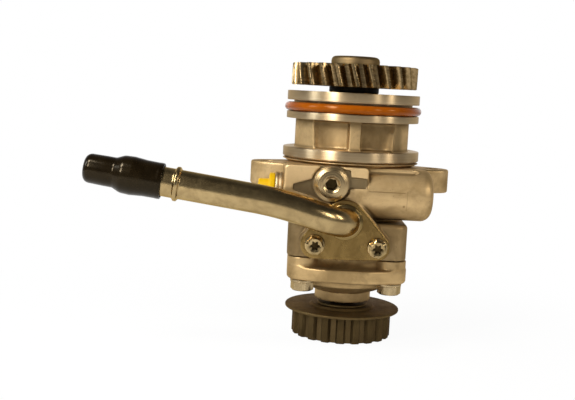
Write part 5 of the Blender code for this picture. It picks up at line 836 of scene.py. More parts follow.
def neckDistance(x, y, z):
    # a round neck, less four pockets between the front and rear ribs and the side walls
    s = neckSet
    radius = np.hypot(x, y)
    neck = np.maximum(radius - s["outerR"], between(z, *s["neckZ"]))
    low, high = s["pocketZ"]
    end = np.radians(s["end"] + s["draft"] * np.clip((z - low) / (high - low), 0.0, 1.0))
    rootTurn = math.radians(s["coreTurn"])
    rootX, rootY = s["coreR"] * math.sin(rootTurn), s["coreR"] * math.cos(rootTurn)
    sideX, sideY = s["mouthR"] * np.sin(end) - rootX, s["mouthR"] * np.cos(end) - rootY
    wall = ((np.abs(x) - rootX) * sideY - (np.abs(y) - rootY) * sideX) / np.hypot(sideX, sideY)
    core = s["coreR"] - radius
    pocket = np.maximum(both(wall, core, s["wallRound"]), both(s["rib"] - np.abs(x), core, s["ribRound"]))
    shape = blendMax(neck, -both(pocket, between(z, low, high), s["endRound"]), 0.8)
    for collarR, collarLow, collarHigh in s["collars"]:
        shape = blendMin(shape, both(radius - collarR, between(z, collarLow, collarHigh), 0.4), 1.2)
    return np.maximum(shape, s["bore"] - radius)


casting("neckCasting", neckDistance, neckSet, aluminium)


# Machined rings of the spigot: stop flange with a cast lip below, and two lands with the O-ring groove above

ringSet = {
    "stopFlange": [(43.8, 121.9, 0.45), (43.8, 115.9, 0.45), (40.5, 115.9, 0.3), (40.5, 114.2, 0),
                   (20.0, 114.2, 0), (20.0, 121.9, 0)],
    "discLip": [(40.4, 116.0, 0), (40.6, 114.9, 0.3), (43.5, 114.6, 0.1), (43.6, 114.3, 0.1),
                (38.2, 111.6, 0), (36.0, 111.6, 0), (36.0, 116.0, 0)],
    "spigotLands": [(42.5, 157.6, 0.45), (42.5, 151.6, 0.45), (38.1, 151.6, 0.4), (38.1, 144.5, 0.4),
                    (42.5, 144.5, 0.45), (42.5, 140.1, 0.45), (20.0, 140.1, 0), (20.0, 137.7, 0.3),
                    (23.8, 137.7, 0.2), (23.8, 152.0, 0), (25.2, 152.0, 0), (25.2, 154.1, 0),
                    (23.8, 154.1, 0), (23.8, 157.6, 0.5)],
}
for name, corners in ringSet.items():
    turned(name, corners, aluminium if name == "discLip" else machined, "cast_aluminium", steps=240)


# O-ring in its groove

oRingSet = {"r": 41.15, "cord": 2.75, "z": 147.55, "around": 28}


def makeORing():
    # a circle of the cord's radius goes round the shaft's axis
    s = oRingSet
    angle = np.linspace(0.0, 2 * math.pi, s["around"], endpoint=False)
    path = np.stack([s["r"] + s["cord"] * np.cos(angle), s["z"] + s["cord"] * np.sin(angle)], axis=-1)
    piece("spigotRing", *lathe(path, True, 240), orangeRubber, slotName="orange_rubber",
          stands=("spigot_o_ring",), sharp=80.0)


makeORing()


# End cover

coverSet = {
    "step": 0.8, "low": (-39.5, -45.0, 21.5), "high": (39.5, 45.0, 57.0), "slot": "cast_aluminium",
    "outline": [(-12.5, -40.2, 3.0), (12.5, -40.2, 3.0), (27.4, -28.0, 10.0), (27.4, 28.0, 10.0),
                (12.5, 40.2, 3.0), (-12.5, 40.2, 3.0), (-27.4, 28.0, 10.0), (-27.4, -28.0, 10.0)],
    "foot": 40.4, "ledge": 49.0, "round": 2.4, "ledgeRound": 0.9, "top": 55.2, "waist": 36.2,
    "waistFrom": 43.0, "bossR": 9.6, "bossFrom": 44.0, "domeZ": [23.4, 29.8, 30.5, 31.7, 35.1, 40.4, 44.0],
    "domeR": [18.2, 18.2, 19.9, 24.0, 29.4, 31.2, 31.2], "domeSlope": 0.72, "neckEnd": 23.4, "shaftR": 9.1,
    "bushR": 10.7, "bushFrom": 35.0, "sealR": 14.4, "sealTop": 30.2, "grooveR": 32.3, "grooveHalf": 1.5,
    "grooveFrom": 52.9, "boltR": 4.4,
}


def coverDistance(x, y, z):
    # rim plate with a rounded lower edge, a waist above it, four corner bosses, a dome and the shaft's neck
    s = coverSet
    radius, top = np.hypot(x, y), s["top"]
    fromBolt = radial(np.abs(x), np.abs(y), coverBoltAt)
    outline = belt(x, y, s["outline"])
    rim = both(outline, between(z, s["foot"], s["ledge"] + 6.0), s["round"])
    rim = both(rim, z - s["ledge"], s["ledgeRound"])
    waist = np.maximum(radius - s["waist"], between(z, s["waistFrom"], top))
    bosses = np.maximum(fromBolt - s["bossR"], between(z, s["bossFrom"], top))
    profile = np.interp(z, s["domeZ"], s["domeR"])
    dome = np.maximum((radius - profile) * s["domeSlope"], between(z, s["neckEnd"], s["domeZ"][-1] + 2.0))
    shape = np.maximum(blendMin(blendMin(rim, waist, 6.0), bosses, 2.0), outline)
    shape = blendMin(shape, dome, 2.6)
    shape = both(shape, z - top, 0.35)
    shape = both(shape, s["neckEnd"] - z, 0.8)
    # the shaft's way through, bush and seal rooms, the seal ring's groove and the bolts' holes
    shape = np.maximum(shape, s["shaftR"] - radius)
    shape = blendMax(shape, -np.maximum(radius - s["bushR"], s["bushFrom"] - z), 0.3)
    shape = blendMax(shape, -np.maximum(radius - s["sealR"], z - s["sealTop"]), 0.5)
    groove = np.maximum(np.abs(radius - s["grooveR"]) - s["grooveHalf"], s["grooveFrom"] - z)
    shape = blendMax(shape, -groove, 0.3)
    return blendMax(shape, s["boltR"] - fromBolt, 0.4)


casting("coverCasting", coverDistance, coverSet, coverAluminium, ("end_cover",))


# Toothed wheels

def roundTeeth(side, count, middle=()):
    # one tooth's side, as (radius, angle from its middle), is mirrored and repeated round the wheel
    tooth = [(r, -a) for r, a in side] + list(middle) + [(r, a) for r, a in reversed(side[1:])]
    radius = np.tile([r for r, a in tooth], count)
    angle = np.concatenate([np.array([a for r, a in tooth]) + n * 2 * math.pi / count for n in range(count)])
    return radius, angle


def toothedPiece(name, radius, angle, section, twist, material, slotName, stands):
    # the toothed outline is carried through a closed section: each of its points gives a height, whether it
    # has teeth, and the radius that the teeth are cut down to, or the plain radius where it has none
    z, toothed, plain = (np.array(column)[None, :] for column in zip(*section))
    heights = z[toothed == 1]
    share = (z - heights.min()) / (heights.max() - heights.min())
    turnAngle = angle[:, None] + twist * share * (toothed == 1)
    r = np.where(toothed == 1, np.minimum(radius[:, None], plain), plain)
    grid = np.stack([r * np.cos(turnAngle), r * np.sin(turnAngle), z + 0 * r], axis=-1)
    return piece(name, grid.reshape(-1, 3), gridQuads(grid.shape[0], grid.shape[1], True, True), material,
                 "shaft", slotName, stands, 40.0)


def plainSection(corners):
    return [(z, 0, r) for r, z in roundedPath(corners, closed=False)]


gearSet = {
    "teeth": 24, "module": 3.0, "helix": 15.0, "pressure": 20.0, "dedendum": 1.25, "thinner": 0.004,
    "low": 161.3, "high": 175.2, "chamfer": 0.55, "ease": 0.35,
    "web": [(31.0, 175.2, 0.3), (31.0, 173.0, 0.8), (18.6, 173.0, 0.8), (15.6, 174.6, 0.6),
            (15.6, 180.8, 3.0), (9.6, 180.8, 0.4), (9.6, 172.0, 0.2), (9.3, 172.0, 0), (9.3, 152.3, 0),
            (13.4, 152.3, 0.3), (13.4, 156.6, 0), (15.6, 156.6, 0.3), (15.6, 163.5, 0.4),
            (31.0, 163.5, 0.8), (31.0, 161.3, 0.3)],
    "collar": [(16.0, 161.2, 0.3), (16.0, 157.9, 0.5), (14.5, 157.9, 0), (14.5, 161.2, 0)],
}


def gearOutline():
    # involute flanks: half the tooth's angle shrinks with the unwound involute as the radius grows
    s = gearSet
    helix = math.radians(s["helix"])
    pitchR = s["teeth"] * s["module"] / math.cos(helix) / 2
    pressure = math.atan(math.tan(math.radians(s["pressure"])) / math.cos(helix))
    baseR, tipR = pitchR * math.cos(pressure), pitchR + s["module"]
    rootR = pitchR - s["dedendum"] * s["module"]
    halfTooth = math.pi / (2 * s["teeth"]) - s["thinner"]

    def flank(r):
        rollAngle = np.arccos(np.minimum(1.0, baseR / r))
        return halfTooth + (math.tan(pressure) - pressure) - (np.tan(rollAngle) - rollAngle)

    # from the middle of the gap: the root and its fillet, the flank, and the eased tip
    startR = max(baseR, rootR) + 0.35
    foot = float(flank(startR))
    side = [(rootR, math.pi / s["teeth"]), (rootR, foot + 0.030), (rootR + 0.12, foot + 0.014),
            (rootR + 0.6, foot + 0.004)]
    side += [(r, flank(r)) for r in np.linspace(startR, tipR - 0.25, 7)]
    side += [(tipR - 0.07, flank(tipR) - 0.0015), (tipR, flank(tipR) - 0.0075)]
    return (*roundTeeth(side, s["teeth"]), pitchR)


def makeGear():
    # chamfered at both ends; the teeth twist by the helix angle over the gear's height
    s = gearSet
    low, high, ease = s["low"], s["high"], s["ease"]
    radius, angle, pitchR = gearOutline()
    tipR = pitchR + s["module"]
    chamferR = tipR - s["chamfer"]
    section = plainSection(s["web"]) + [(low, 1, chamferR - ease), (low + 0.03, 1, chamferR)]
    section += [(height, 1, tipR + 1) for height in np.linspace(low + ease, high - ease, 7)]
    section += [(high - 0.03, 1, chamferR), (high, 1, chamferR - ease)]
    twist = -math.tan(math.radians(s["helix"])) * (high - low) / pitchR
    toothedPiece("driveGear", radius, angle, section, twist, gearSteel, "gear_steel", ("drive_gear",))
    # a near-black ring round the hub just under the gear
    turned("gearCollar", s["collar"], blackRubber, "black_rubber", "shaft")
    print("drive gear")


makeGear()

couplingSet = {
    "teeth": 20, "tipR": 32.3, "rootR": 29.7, "phase": -3.1, "chamfer": 0.55,
    "heights": (0.5, 6.0, 12.0, 16.3, 16.81),
    "web": [(29.0, 16.8, 0), (37.3, 16.8, 0.7), (37.3, 18.6, 0.7), (21.4, 18.6, 0.8), (20.0, 20.0, 0.6),
            (16.0, 20.0, 0.5), (16.0, 21.0, 0.4), (7.8, 21.0, 0.3), (7.8, 11.0, 0.3), (25.0, 11.0, 1.4),
            (25.0, 0.0, 0.8), (28.6, 0.0, 0)],
}


def makeCoupling():
    # straight-sided teeth, each rising from the root to the tip over a tenth of the pitch, corners eased
    s = couplingSet
    tip, root, pitch = s["tipR"], s["rootR"], 2 * math.pi / s["teeth"]
    shares = [(root, 0.5), (root, 0.42), (root, 0.345), (root + 0.10, 0.325), (root + 0.45, 0.312),
              (root + 1.3, 0.272), (tip - 0.45, 0.215), (tip - 0.12, 0.200), (tip, 0.175), (tip, 0.09)]
    radius, angle = roundTeeth([(r, share * pitch) for r, share in shares], s["teeth"], [(tip, 0.0)])
    section = plainSection(s["web"]) + [(0.0, 1, tip - s["chamfer"])]
    section += [(height, 1, tip + 1) for height in s["heights"]]
    toothedPiece("driveCoupling", radius, angle + math.radians(s["phase"]), section, 0.0, couplingSteel,
                 "sintered_steel", ("drive_coupling",))
    print("drive coupling")


makeCoupling()


# Suction pipe: one bent tube with a collar at the plate, a bead and a barb at the free end

pipeSet = {
    "r": 8.7, "wall": 1.3, "startY": -35.0, "bendY": -49.4, "elbow": 15.8, "slow": 15.0, "slowR": 51.0,
    "arcFrom": 26.0, "rise": 16.4, "end": 7.5, "sweep": 200.0, "last": 77.5, "collarY": -48.6,
    "beadFromEnd": 32.0,
    # rounded rings: length from the ring's place, height over the pipe's skin, rounding
    "collar": [(0.0, 0.0, 0.3), (0.0, 2.2, 0.6), (2.0, 2.2, 0.6), (2.3, 0.1, 0.4), (3.2, 0.0, 0)],
    "bead": [(-3.2, 0.0, 0), (-1.9, 0.0, 0.9), (-0.9, 1.5, 0.8), (0.9, 1.5, 0.8), (1.9, 0.0, 0.9),
             (3.2, 0.0, 0)],
    "barb": [(-9.0, 0.0, 0), (-6.2, 0.0, 1.0), (-3.2, 0.5, 1.0), (-0.6, -0.1, 0.5), (0.0, -0.7, 0.3),
             (0.0, -1.3, 0)],
}


def pipeLine():
    # straight out of the plate, round the elbow and more slowly out of it, a short straight, a long shallow
    # arc, and the last straight; also its last direction
    s = pipeSet
    start = np.array([pipePort[0], s["startY"], pipePort[1]])
    bend = np.array([pipePort[0], s["bendY"], pipePort[1]])
    out, up, endUp = np.array([0.0, -1.0, 0.0]), math.radians(s["rise"]), math.radians(s["end"])
    side = np.array([-math.cos(up), 0.0, math.sin(up)])
    line = [start, start + (bend - start) * 0.5, bend]
    slowFrom = math.pi / 2 - math.radians(s["slow"])
    for turn in np.linspace(0.0, slowFrom, 23)[1:]:
        line.append(bend + s["elbow"] * (math.sin(turn) * out + (1 - math.cos(turn)) * side))
    slowStart = line[-1]
    for turn in np.linspace(slowFrom, math.pi / 2, 12)[1:]:
        line.append(slowStart + s["slowR"] * ((math.sin(turn) - math.sin(slowFrom)) * out
                                              + (math.cos(slowFrom) - math.cos(turn)) * side))
    arcStart = line[-1] + side * float((bend + s["arcFrom"] * side - line[-1]) @ side)
    line.append(arcStart)
    for turn in np.linspace(up, endUp, 13)[1:]:
        swept = np.array([math.sin(turn) - math.sin(up), 0.0, math.cos(turn) - math.cos(up)])
        line.append(arcStart + s["sweep"] * swept)
    direction = np.array([-math.cos(endUp), 0.0, math.sin(endUp)])
    line.append(line[-1] + direction * s["last"])
    return np.array(line), direction


def sweepTube(line, lengths, along, radius, guide, **rest):
    # rings square to the line, one for each length along it and its radius: out along the skin, back inside
    def lineAt(where):
        return np.stack([np.interp(where, lengths, line[:, n]) for n in range(3)], axis=-1)

    tangent = lineAt(along + 0.6) - lineAt(along - 0.6)
    tangent /= np.linalg.norm(tangent, axis=1)[:, None]
    second = np.cross(tangent, guide)
    second /= np.linalg.norm(second, axis=1)[:, None]
    first = np.cross(second, tangent)
    around = np.linspace(0.0, 2 * math.pi, 64, endpoint=False)[:, None, None]
    outward = np.cos(around) * first[None] + np.sin(around) * second[None]
    grid = lineAt(along)[None] + radius[None, :, None] * outward
    return piece(points=grid.reshape(-1, 3), quads=gridQuads(64, len(along), True, True), **rest)


def makePipe():
    s = pipeSet
    line, direction = pipeLine()
    lengths = np.concatenate([[0.0], np.cumsum(np.linalg.norm(np.diff(line, axis=0), axis=1))])
    r, innerR, total = s["r"], s["r"] - s["wall"], lengths[-1]
    collar, bead = s["startY"] - s["collarY"], total - s["beadFromEnd"]

    def ring(name, at, before=()):
        corners = [(at + length, r + height, rounding) for length, height, rounding in s[name]]
        return roundedPath(list(before) + corners, closed=False)

    middle = lengths[(lengths > collar + 3.4) & (lengths < bead - 3.4)]
    back = np.flip(lengths[(lengths > 1.0) & (lengths < total - 1.0)])
    marks = np.concatenate([
        ring("collar", collar, [(0.0, r - 0.3, 0), (0.3, r, 0)]), np.stack([middle, 0 * middle + r], axis=-1),
        ring("bead", bead), [(bead + 10.0, r)], ring("barb", total),
        np.stack([back, 0 * back + innerR], axis=-1), [(0.0, innerR)]])
    up = math.radians(s["rise"])
    sweepTube(line, lengths, marks[:, 0], marks[:, 1], np.array([math.sin(up), 0.0, math.cos(up)]),
              name="suctionPipe", material=pipeZinc, slotName="yellow_zinc", stands=("suction_pipe",),
              sharp=40.0)
    print("suction pipe, end at", line[-1].round(2))
    return line[-1], direction


# Transit cap on the pipe's free end

capSet = {"lip": -23.5, "bulge": 21.0, "shoulder": 7.5, "nose": 17.8, "lipR": 10.7, "bulgeR": 11.5,
          "noseR": 8.9, "mouthR": 9.5, "innerR": 7.4, "wall": 1.5}


def makeCap(pipeEnd, direction):
    # turned round the pipe's last direction: heights run from the pipe's end, the lip behind it
    s = capSet
    bulge = s["lip"] + s["bulge"]
    shoulder = bulge + s["shoulder"]
    tip = shoulder + s["nose"]
    noseR, bulgeR, lipR, lip = s["noseR"], s["bulgeR"], s["lipR"], s["lip"]
    innerR, innerTip = s["innerR"], tip - s["wall"]
    corners = [
        (0.0, tip, 0), (noseR - 0.3, tip, 4.0), (noseR, shoulder + 5.0, 6.0), (noseR, shoulder, 3.5),
        (bulgeR - 0.4, bulge + 2.8, 7.0), (bulgeR - 0.1, bulge - 3.0, 4.0), (lipR, bulge - 10.5, 8.0),
        (lipR - 0.1, lip + 3.4, 1.0), (lipR, lip + 2.2, 0.8), (lipR - 0.1, lip, 0.8), (s["mouthR"], lip, 0.4),
        (s["mouthR"], 0.3, 0), (innerR, shoulder, 1.0), (innerR, innerTip - 2.0, s["wall"]),
        (4.5, innerTip, 1.0), (0.0, innerTip, 0)]
    turn = np.stack([[-direction[2], 0.0, direction[0]], [0.0, 1.0, 0.0], direction], axis=-1)
    turned("pipeCap", corners, blackVinyl, "black_vinyl", "cap", ("pipe_cap",), closed=False, axis=turn,
           at=pipeEnd, arcSteps=6, sharp=60.0)


makeCap(*makePipe())


# Outlet union and yellow transit plug on the valve's axis

outletSet = {
    "union": [(10.0, 42.6, 0.5), (10.0, 44.3, 0.3), (9.55, 44.7, 0.2), (9.55, 45.1, 0.2), (10.0, 45.5, 0.3),
              (10.0, 47.2, 0.6), (6.6, 47.2, 0.4), (6.6, 36.2, 0), (3.0, 36.2, 0), (3.0, 30.6, 0),
              (8.0, 30.6, 0.5), (8.0, 42.6, 0)],
    "plug": [(0.0, 57.9, 0), (5.5, 57.9, 0.9), (5.5, 51.1, 0.5), (9.3, 51.1, 0.7), (9.3, 47.5, 0.7),
             (6.3, 47.5, 0.2), (6.3, 39.5, 0.9), (4.9, 39.5, 0.5), (4.9, 46.5, 0.5), (0.0, 46.5, 0)],
}
turned("outletUnion", outletSet["union"], unionZinc, "bright_steel", stands=("outlet_union",), axis="-X",
       at=valveAxis)
turned("transitPlug", outletSet["plug"], yellowPlastic, "yellow_plastic", "plug", ("transit_plug",),
       closed=False, steps=72, axis="-X", at=valveAxis)


# Spring of the flow valve

springSet = {"coilR": 5.5, "wireR": 0.7, "turns": 7, "fixedX": 41.0, "travel": 7.0}


def coilSpring(name, s, startX, endX, at, material, slotName):
    # round wire along the helix x = a + b t, y = r cos t, z = r sin t; radius 0 at both ends closes the wire
    turnAngle = np.linspace(0.0, 2 * math.pi * s["turns"], 28 * s["turns"] + 1)
    turnAngle = np.concatenate([turnAngle[:1], turnAngle, turnAngle[-1:]])
    climb = (endX - startX - 2 * s["wireR"]) / (2 * math.pi * s["turns"])
    outward = np.stack([0 * turnAngle, np.cos(turnAngle), np.sin(turnAngle)], axis=-1)
    centre = outward * s["coilR"] + np.array(at)
    centre[:, 0] = startX + s["wireR"] + climb * turnAngle
    ahead = np.stack([climb + 0 * turnAngle, -s["coilR"] * np.sin(turnAngle), s["coilR"] * np.cos(turnAngle)],
                     axis=-1)
    side = np.cross(ahead / np.linalg.norm(ahead, axis=1)[:, None], outward)
    radius = np.full(len(turnAngle), s["wireR"])
    radius[[0, -1]] = 0.0
    around = np.linspace(0.0, 2 * math.pi, 12, endpoint=False)[:, None, None]
    across = np.cos(around) * outward[None] + np.sin(around) * side[None]
    grid = centre[None] + radius[None, :, None] * across
    return piece(name, grid.reshape(-1, 3), gridQuads(12, len(turnAngle)), material, slotName=slotName,
                 stands=("flow_valve_spring",), sharp=50.0)


low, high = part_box("flow_valve_spring")
valveSpring = coilSpring("valveSpring", springSet, low.x / mm, high.x / mm, valveAxis, brightSteel,
                         "bright_steel")
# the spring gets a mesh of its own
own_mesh(valveSpring)


# Screw plug with a hexagon socket, a dark cup of painted shade inside the socket, and its washer

plugSet = {"headY": 47.6, "headR": 10.4, "thick": 3.2, "af": 6.8, "depth": 5.0, "socketR": 3.4, "turn": 10.0,
           "ease": 0.12, "liningR": 3.34, "mouth": 1.25, "wall": 0.2, "washer": (7.3, 46.3, 47.3)}


def hexRadius(angle, acrossFlats, turnDegrees=0.0, corner=0.0):
    # distance from the middle to a hexagon's side in each direction, its corners eased
    phase = (angle + math.radians(turnDegrees)) % (math.pi / 3) - math.pi / 6
    return np.minimum(acrossFlats / 2 / np.cos(phase), acrossFlats / 2 / math.cos(math.pi / 6) - corner)


def socketRadius(angle, r, z):
    # the corners at the socket's radius become the hexagon, the rest stays round
    s = plugSet
    sides = hexRadius(angle, s["af"], s["turn"], s["ease"])
    return np.where(np.abs(r - s["socketR"]) < 0.1, sides, r + 0 * angle)


def hexCup(angle, r, z):
    # a plain radius becomes the distance to a hexagon of that inner radius
    return r * hexRadius(angle, 2.0, plugSet["turn"], 0.03)


def makeScrewPlug():
    s = plugSet
    foot, rim, socketR = s["headY"], s["headR"], s["socketR"]
    top = foot + s["thick"]
    floor = top - s["depth"]
    corners = [(0.0, floor - 0.8, 0), (socketR, floor, 0), (socketR, top - 1.1, 0), (4.1, top - 0.95, 0.1),
               (5.2, top - 0.15, 0.5), (8.2, top - 0.5, 0.8), (9.4, top - 1.2, 0.3), (rim, top - 1.7, 0.5),
               (rim, foot, 0.4), (7.0, foot, 0), (7.0, 38.6, 0.6), (0.0, 38.4, 0)]
    place = {"axis": "-Y", "at": (screwPlugAt[0], 0.0, screwPlugAt[1])}
    turned("screwPlug", corners, plugSteel, "bright_steel", stands=("relief_plug",), closed=False, steps=120,
           radiusAt=socketRadius, sharp=30.0, **place)
    # painted shade: a near-black hexagonal cup just inside the socket stands for its deep shade
    liningR, mouth, floor = s["liningR"], top - s["mouth"], floor + 0.05
    corners = [(0.0, floor, 0), (liningR, floor, 0), (liningR, mouth, 0), (liningR - s["wall"], mouth, 0),
               (liningR - s["wall"], floor + 0.25, 0), (0.0, floor + 0.25, 0)]
    turned("plugSocketShade", corners, socketShade, "bright_steel", closed=False, steps=120, radiusAt=hexCup,
           sharp=30.0, **place)
    bore, low, high = s["washer"]
    corners = [(rim, high, 0.3), (rim, low, 0.3), (bore, low, 0.1), (bore, high, 0.1)]
    turned("screwPlugWasher", corners, copper, "copper", stands=("relief_plug_washer",), **place)


makeScrewPlug()


# Flange plate of the suction pipe

plateSet = {"step": 0.55, "low": (-31.5, -49.6, 55.0), "high": (25.7, -43.0, 94.6), "slot": "yellow_zinc",
            "back": -44.3, "front": -48.3, "edge": 0.8, "pipeR": 9.0, "boltR": 3.3,
            "lobes": [(-21.3, 65.2, 8.8), (16.6, 64.9, 7.8), (*pipePort, 13.3)]}


def plateDistance(x, y, z):
    # a belt-shaped plate with a pressed, rounded edge, less the pipe's hole and two bolt holes
    s = plateSet
    shape = both(belt(x, z, s["lobes"]), between(y, s["front"], s["back"]), s["edge"])
    shape = blendMax(shape, s["pipeR"] - radial(x, z, pipePort), 0.5)
    for lobe in s["lobes"][:2]:
        shape = blendMax(shape, s["boltR"] - radial(x, z, lobe[:2]), 0.4)
    return shape


casting("pipePlate", plateDistance, plateSet, yellowZinc, ("pipe_flange_plate",))


# Flanged hexagon bolts; starR and starDepth give a bolt a six-lobed recess, with a dark cup of painted shade
# in it

coverBoltSet = {"af": 13.0, "head": 5.6, "flange": 1.5, "flangeR": 7.6, "shankR": 4.0, "shank": 31.4,
                "slope": 0.055, "face": 0.47, "seatZ": 40.1, "turns": (-13.0, 0.0, 21.0, 37.0)}
plateBoltSet = {"af": 10.0, "head": 4.6, "flange": 1.2, "flangeR": 6.2, "shankR": 3.0, "shank": 14.2,
                "slope": 0.10, "face": 0.42, "starR": 3.1, "starDepth": 2.6, "seatY": -48.6,
                "turns": (11.0, 22.0)}


def starRadius(angle, r, z):
    # the radius dips by up to a third between six lobes
    return r * (1 - 0.17 * (1 - np.cos(6 * angle)))


def flangedBolt(name, at, axis, s, turnDegrees, material, slotName, stands):
    # round the head: a washer face, a coned flange, then the hexagon with a chamfered and dished top
    topZ, af, flange, starR = s["flange"] + s["head"], s["af"], s["flange"], s.get("starR")
    corner = af / 2 / math.cos(math.pi / 6)

    def headRadius(angle, r, z):
        flats = np.minimum(hexRadius(angle, af, turnDegrees, 0.10), r)
        shaped = np.where((z > flange + 0.28) & (r > af * 0.40), flats, r + 0 * angle)
        if not starR:
            return shaped
        inStar = (shaped > starR * 0.98) & (shaped < starR * 1.02)
        return np.where(inStar, starRadius(angle, starR, z), shaped)

    corners = [(0.0, -s["shank"], 0), (s["shankR"], -s["shank"], 0), (s["shankR"], 0.0, 0.1),
               (s["flangeR"], 0.0, 0.25), (s["flangeR"], flange * 0.55, 0.3), (corner * 0.99, flange, 0.15),
               (corner + 0.5, flange + 0.3, 0), (corner + 0.5, topZ - af * s["slope"], 0),
               (af * s["face"], topZ, 0.25)]
    if starR:
        floor = topZ - s["starDepth"]
        corners += [(starR * 1.14, topZ - 0.05, 0), (starR, topZ - 0.25, 0), (starR, floor, 0),
                    (0.0, floor, 0)]
    else:
        corners += [(af * 0.30, topZ - 0.1, 0.2), (af * 0.26, topZ - 0.45, 0.3), (0.0, topZ - 0.5, 0)]
    turned(name, corners, material, slotName, stands=stands, closed=False, steps=108, axis=axis, at=at,
           radiusAt=headRadius, arcSteps=3, sharp=30.0)


def starShadeCup(name, at, s):
    # a thin dark cup of the star's outline, just inside the recess: painted shade for its depth
    topZ = s["flange"] + s["head"]
    floor, mouth = topZ - s["starDepth"] + 0.05, topZ - 0.4
    corners = [(0.0, floor, 0), (3.04, floor, 0), (3.04, mouth, 0), (2.8, mouth, 0), (2.5, floor + 0.5, 0),
               (0.0, floor + 0.3, 0)]
    turned(name, corners, socketShade, "yellow_zinc", closed=False, steps=108, axis="-Y", at=at,
           radiusAt=starRadius, sharp=30.0)


def middleOf(low, high):
    # the middle of a box from the frame, in millimetres
    return [(a + b) / 2 / mm for a, b in zip(low, high)]


for number, turnDegrees in enumerate(coverBoltSet["turns"], 1):
    middleX, middleY, _ = middleOf(*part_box(f"cover_bolt_{number}"))
    at = (middleX, middleY, coverBoltSet["seatZ"])
    flangedBolt(f"coverBolt{number}", at, "-Z", coverBoltSet, turnDegrees, boltZinc, "bright_steel",
                (f"cover_bolt_{number}",))
for number, turnDegrees in enumerate(plateBoltSet["turns"], 1):
    middleX, _, middleZ = middleOf(*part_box(f"flange_bolt_{number}"))
    at = (middleX, plateBoltSet["seatY"], middleZ)
    flangedBolt(f"plateBolt{number}", at, "-Y", plateBoltSet, turnDegrees, plateBoltZinc, "yellow_zinc",
                (f"flange_bolt_{number}",))
    starShadeCup(f"plateBoltShade{number}", at, plateBoltSet)
print("bolts")


# The CAD solids whose shape is right keep it and get their finish here

finishes = [
    (brightSteel, ["pump_shaft", "gear_nut", "gear_key", "bearing_circlip", "dowel_pin_1", "dowel_pin_2",
                   "coupling_nut", "coupling_washer"]),
    (bearingSteel, ["bearing_inner_ring", "bearing_outer_ring", "cam_ring", "flow_valve_spool"]
     + [f"bearing_ball_{n}" for n in range(1, 9)] + [f"vane_{n}" for n in range(1, 11)]),
    (sinteredSteel, ["rotor", "lower_side_plate", "pressure_plate"]),
    (bronze, ["bearing_cage", "upper_bush", "lower_bush"]),
    (blackRubber, ["upper_shaft_seal", "lower_shaft_seal", "cover_o_ring", "pressure_plate_seal",
                   "pipe_o_ring"]),
]
for material, names in finishes:
    for name in names:
        mesh = nodes[name].data
        mesh.materials.clear()
        mesh.materials.append(material)
print("CAD finishes")


# Floor, backdrop light and lamps

stageSet = {"size": 6.0, "floorZ": -0.0005, "floorDark": (0.84, 0.84, 0.83), "floorPale": (0.90, 0.90, 0.89),
            "room": 0.17, "ceiling": 0.22, "soft": 0.22, "mirrored": 0.32}
white = (1.0, 1.0, 1.0)


def floorMaterial():
    # a plain pale floor that the camera sees as white, turning fully white away from the pump
    material = bpy.data.materials.new("studioFloor")
    material.use_nodes = True
    tree = material.node_tree
    shader = tree.nodes["Principled BSDF"]
    shader.inputs["Roughness"].default_value = 0.8
    place = tree.nodes.new("ShaderNodeTexCoord").outputs["Object"]
    colour = mixColour(noiseOut(place, 9.0, 4.0, 0.6), stageSet["floorDark"], stageSet["floorPale"])
    tree.links.new(colour, shader.inputs["Base Color"])
    glow = addNode(tree, "ShaderNodeEmission", [("Color", white)])
    ray = tree.nodes.new("ShaderNodeLightPath").outputs
    seen = calc("MAXIMUM", ray["Is Camera Ray"], times(ray["Is Glossy Ray"], stageSet["mirrored"]))
    share = times(seen, ramp(distanceFrom(place), 0.05, 0.30, 0.95, 1.0))
    mix = addNode(tree, "ShaderNodeMixShader", [(0, share), (1, shader.outputs[0]), (2, glow.outputs[0])])
    tree.links.new(mix.outputs[0], tree.nodes["Material Output"].inputs["Surface"])
    return material


def makeFloor():
    size, floorZ = stageSet["size"], stageSet["floorZ"]
    mesh = bpy.data.meshes.new("studioFloor")
    corners = [(-size, -size, floorZ), (size, -size, floorZ), (size, size, floorZ), (-size, size, floorZ)]
    mesh.from_pydata(corners, [], [(0, 1, 2, 3)])
    mesh.materials.append(floorMaterial())
    floor = bpy.data.objects.new("studioFloor", mesh)
    bpy.context.scene.collection.objects.link(floor)


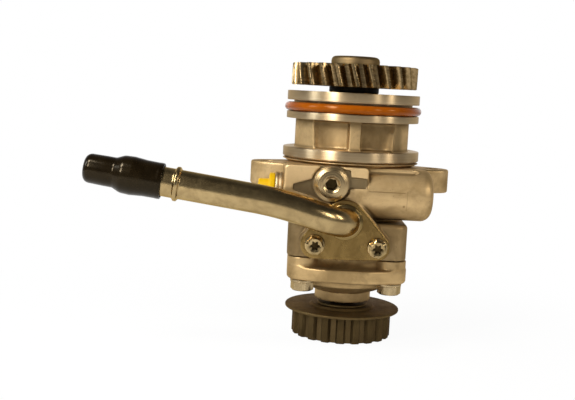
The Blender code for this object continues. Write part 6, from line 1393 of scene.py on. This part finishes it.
def makeWorld():
    # mirrors see a white backdrop behind the pump, a dim room behind the camera and a dark ceiling
    world = bpy.data.worlds.new("studio")
    bpy.context.scene.world = world
    world.use_nodes = True
    tree = world.node_tree
    tree.nodes.clear()
    ray = tree.nodes.new("ShaderNodeLightPath").outputs
    direction = partsOf(tree.nodes.new("ShaderNodeTexCoord").outputs["Generated"])
    glossy = times(ramp(direction[1], 0.0, 0.95, stageSet["room"], 1.0),
                   ramp(direction[2], 0.05, 0.75, 1.0, stageSet["ceiling"]))
    seen = calc("MAXIMUM", ray["Is Camera Ray"], ray["Is Transmission Ray"])
    strength = addNode(tree, "ShaderNodeMix", [(0, ray["Is Glossy Ray"]), (2, stageSet["soft"]), (3, glossy)],
                       data_type="FLOAT").outputs[0]
    strength = addNode(tree, "ShaderNodeMix", [(0, seen), (2, strength), (3, 1.0)],
                       data_type="FLOAT").outputs[0]
    background = addNode(tree, "ShaderNodeBackground", [("Color", white), ("Strength", strength)])
    output = tree.nodes.new("ShaderNodeOutputWorld")
    tree.links.new(background.outputs[0], output.inputs["Surface"])


def areaLamp(name, azimuth, elevation, distance, size, power, colour):
    # a lamp on a sphere round the pump's middle, facing it
    azimuth, elevation = math.radians(azimuth), math.radians(elevation)
    target = Vector((0.0, 0.0, 0.1))
    level = math.cos(elevation)
    away = Vector((math.sin(azimuth) * level, -math.cos(azimuth) * level, math.sin(elevation)))
    place = target + away * distance
    data = bpy.data.lights.new(name, "AREA")
    data.shape = "RECTANGLE"
    data.size, data.size_y = size
    data.energy, data.color = power, colour
    lamp = bpy.data.objects.new(name, data)
    lamp.location = place
    lamp.rotation_mode = "QUATERNION"
    lamp.rotation_quaternion = (target - place).to_track_quat("-Z", "Y")
    bpy.context.scene.collection.objects.link(lamp)


lamps = {
    # degrees to the right of the camera's side, degrees up, distance, size, watts and colour
    "leftPanel": (-37.0, 26.0, 0.95, (0.13, 0.30), 4.6, (1.0, 0.97, 0.92)),
    "windowSide": (-76.0, 26.0, 1.05, (0.24, 0.40), 3.6, (0.84, 0.92, 1.0)),
    "rightPanel": (40.0, 26.0, 1.0, (0.09, 0.30), 1.3, (1.0, 0.95, 0.86)),
    "farRight": (66.0, 24.0, 1.1, (0.08, 0.30), 2.2, (1.0, 0.93, 0.82)),
    "mainLeft": (-50.0, 50.0, 0.95, (0.20, 0.26), 5.6, (1.0, 0.97, 0.92)),
}
makeFloor()
makeWorld()
for name, values in lamps.items():
    areaLamp(name, *values)

view = bpy.context.scene.view_settings
view.view_transform = "Standard"
print("scene ready")
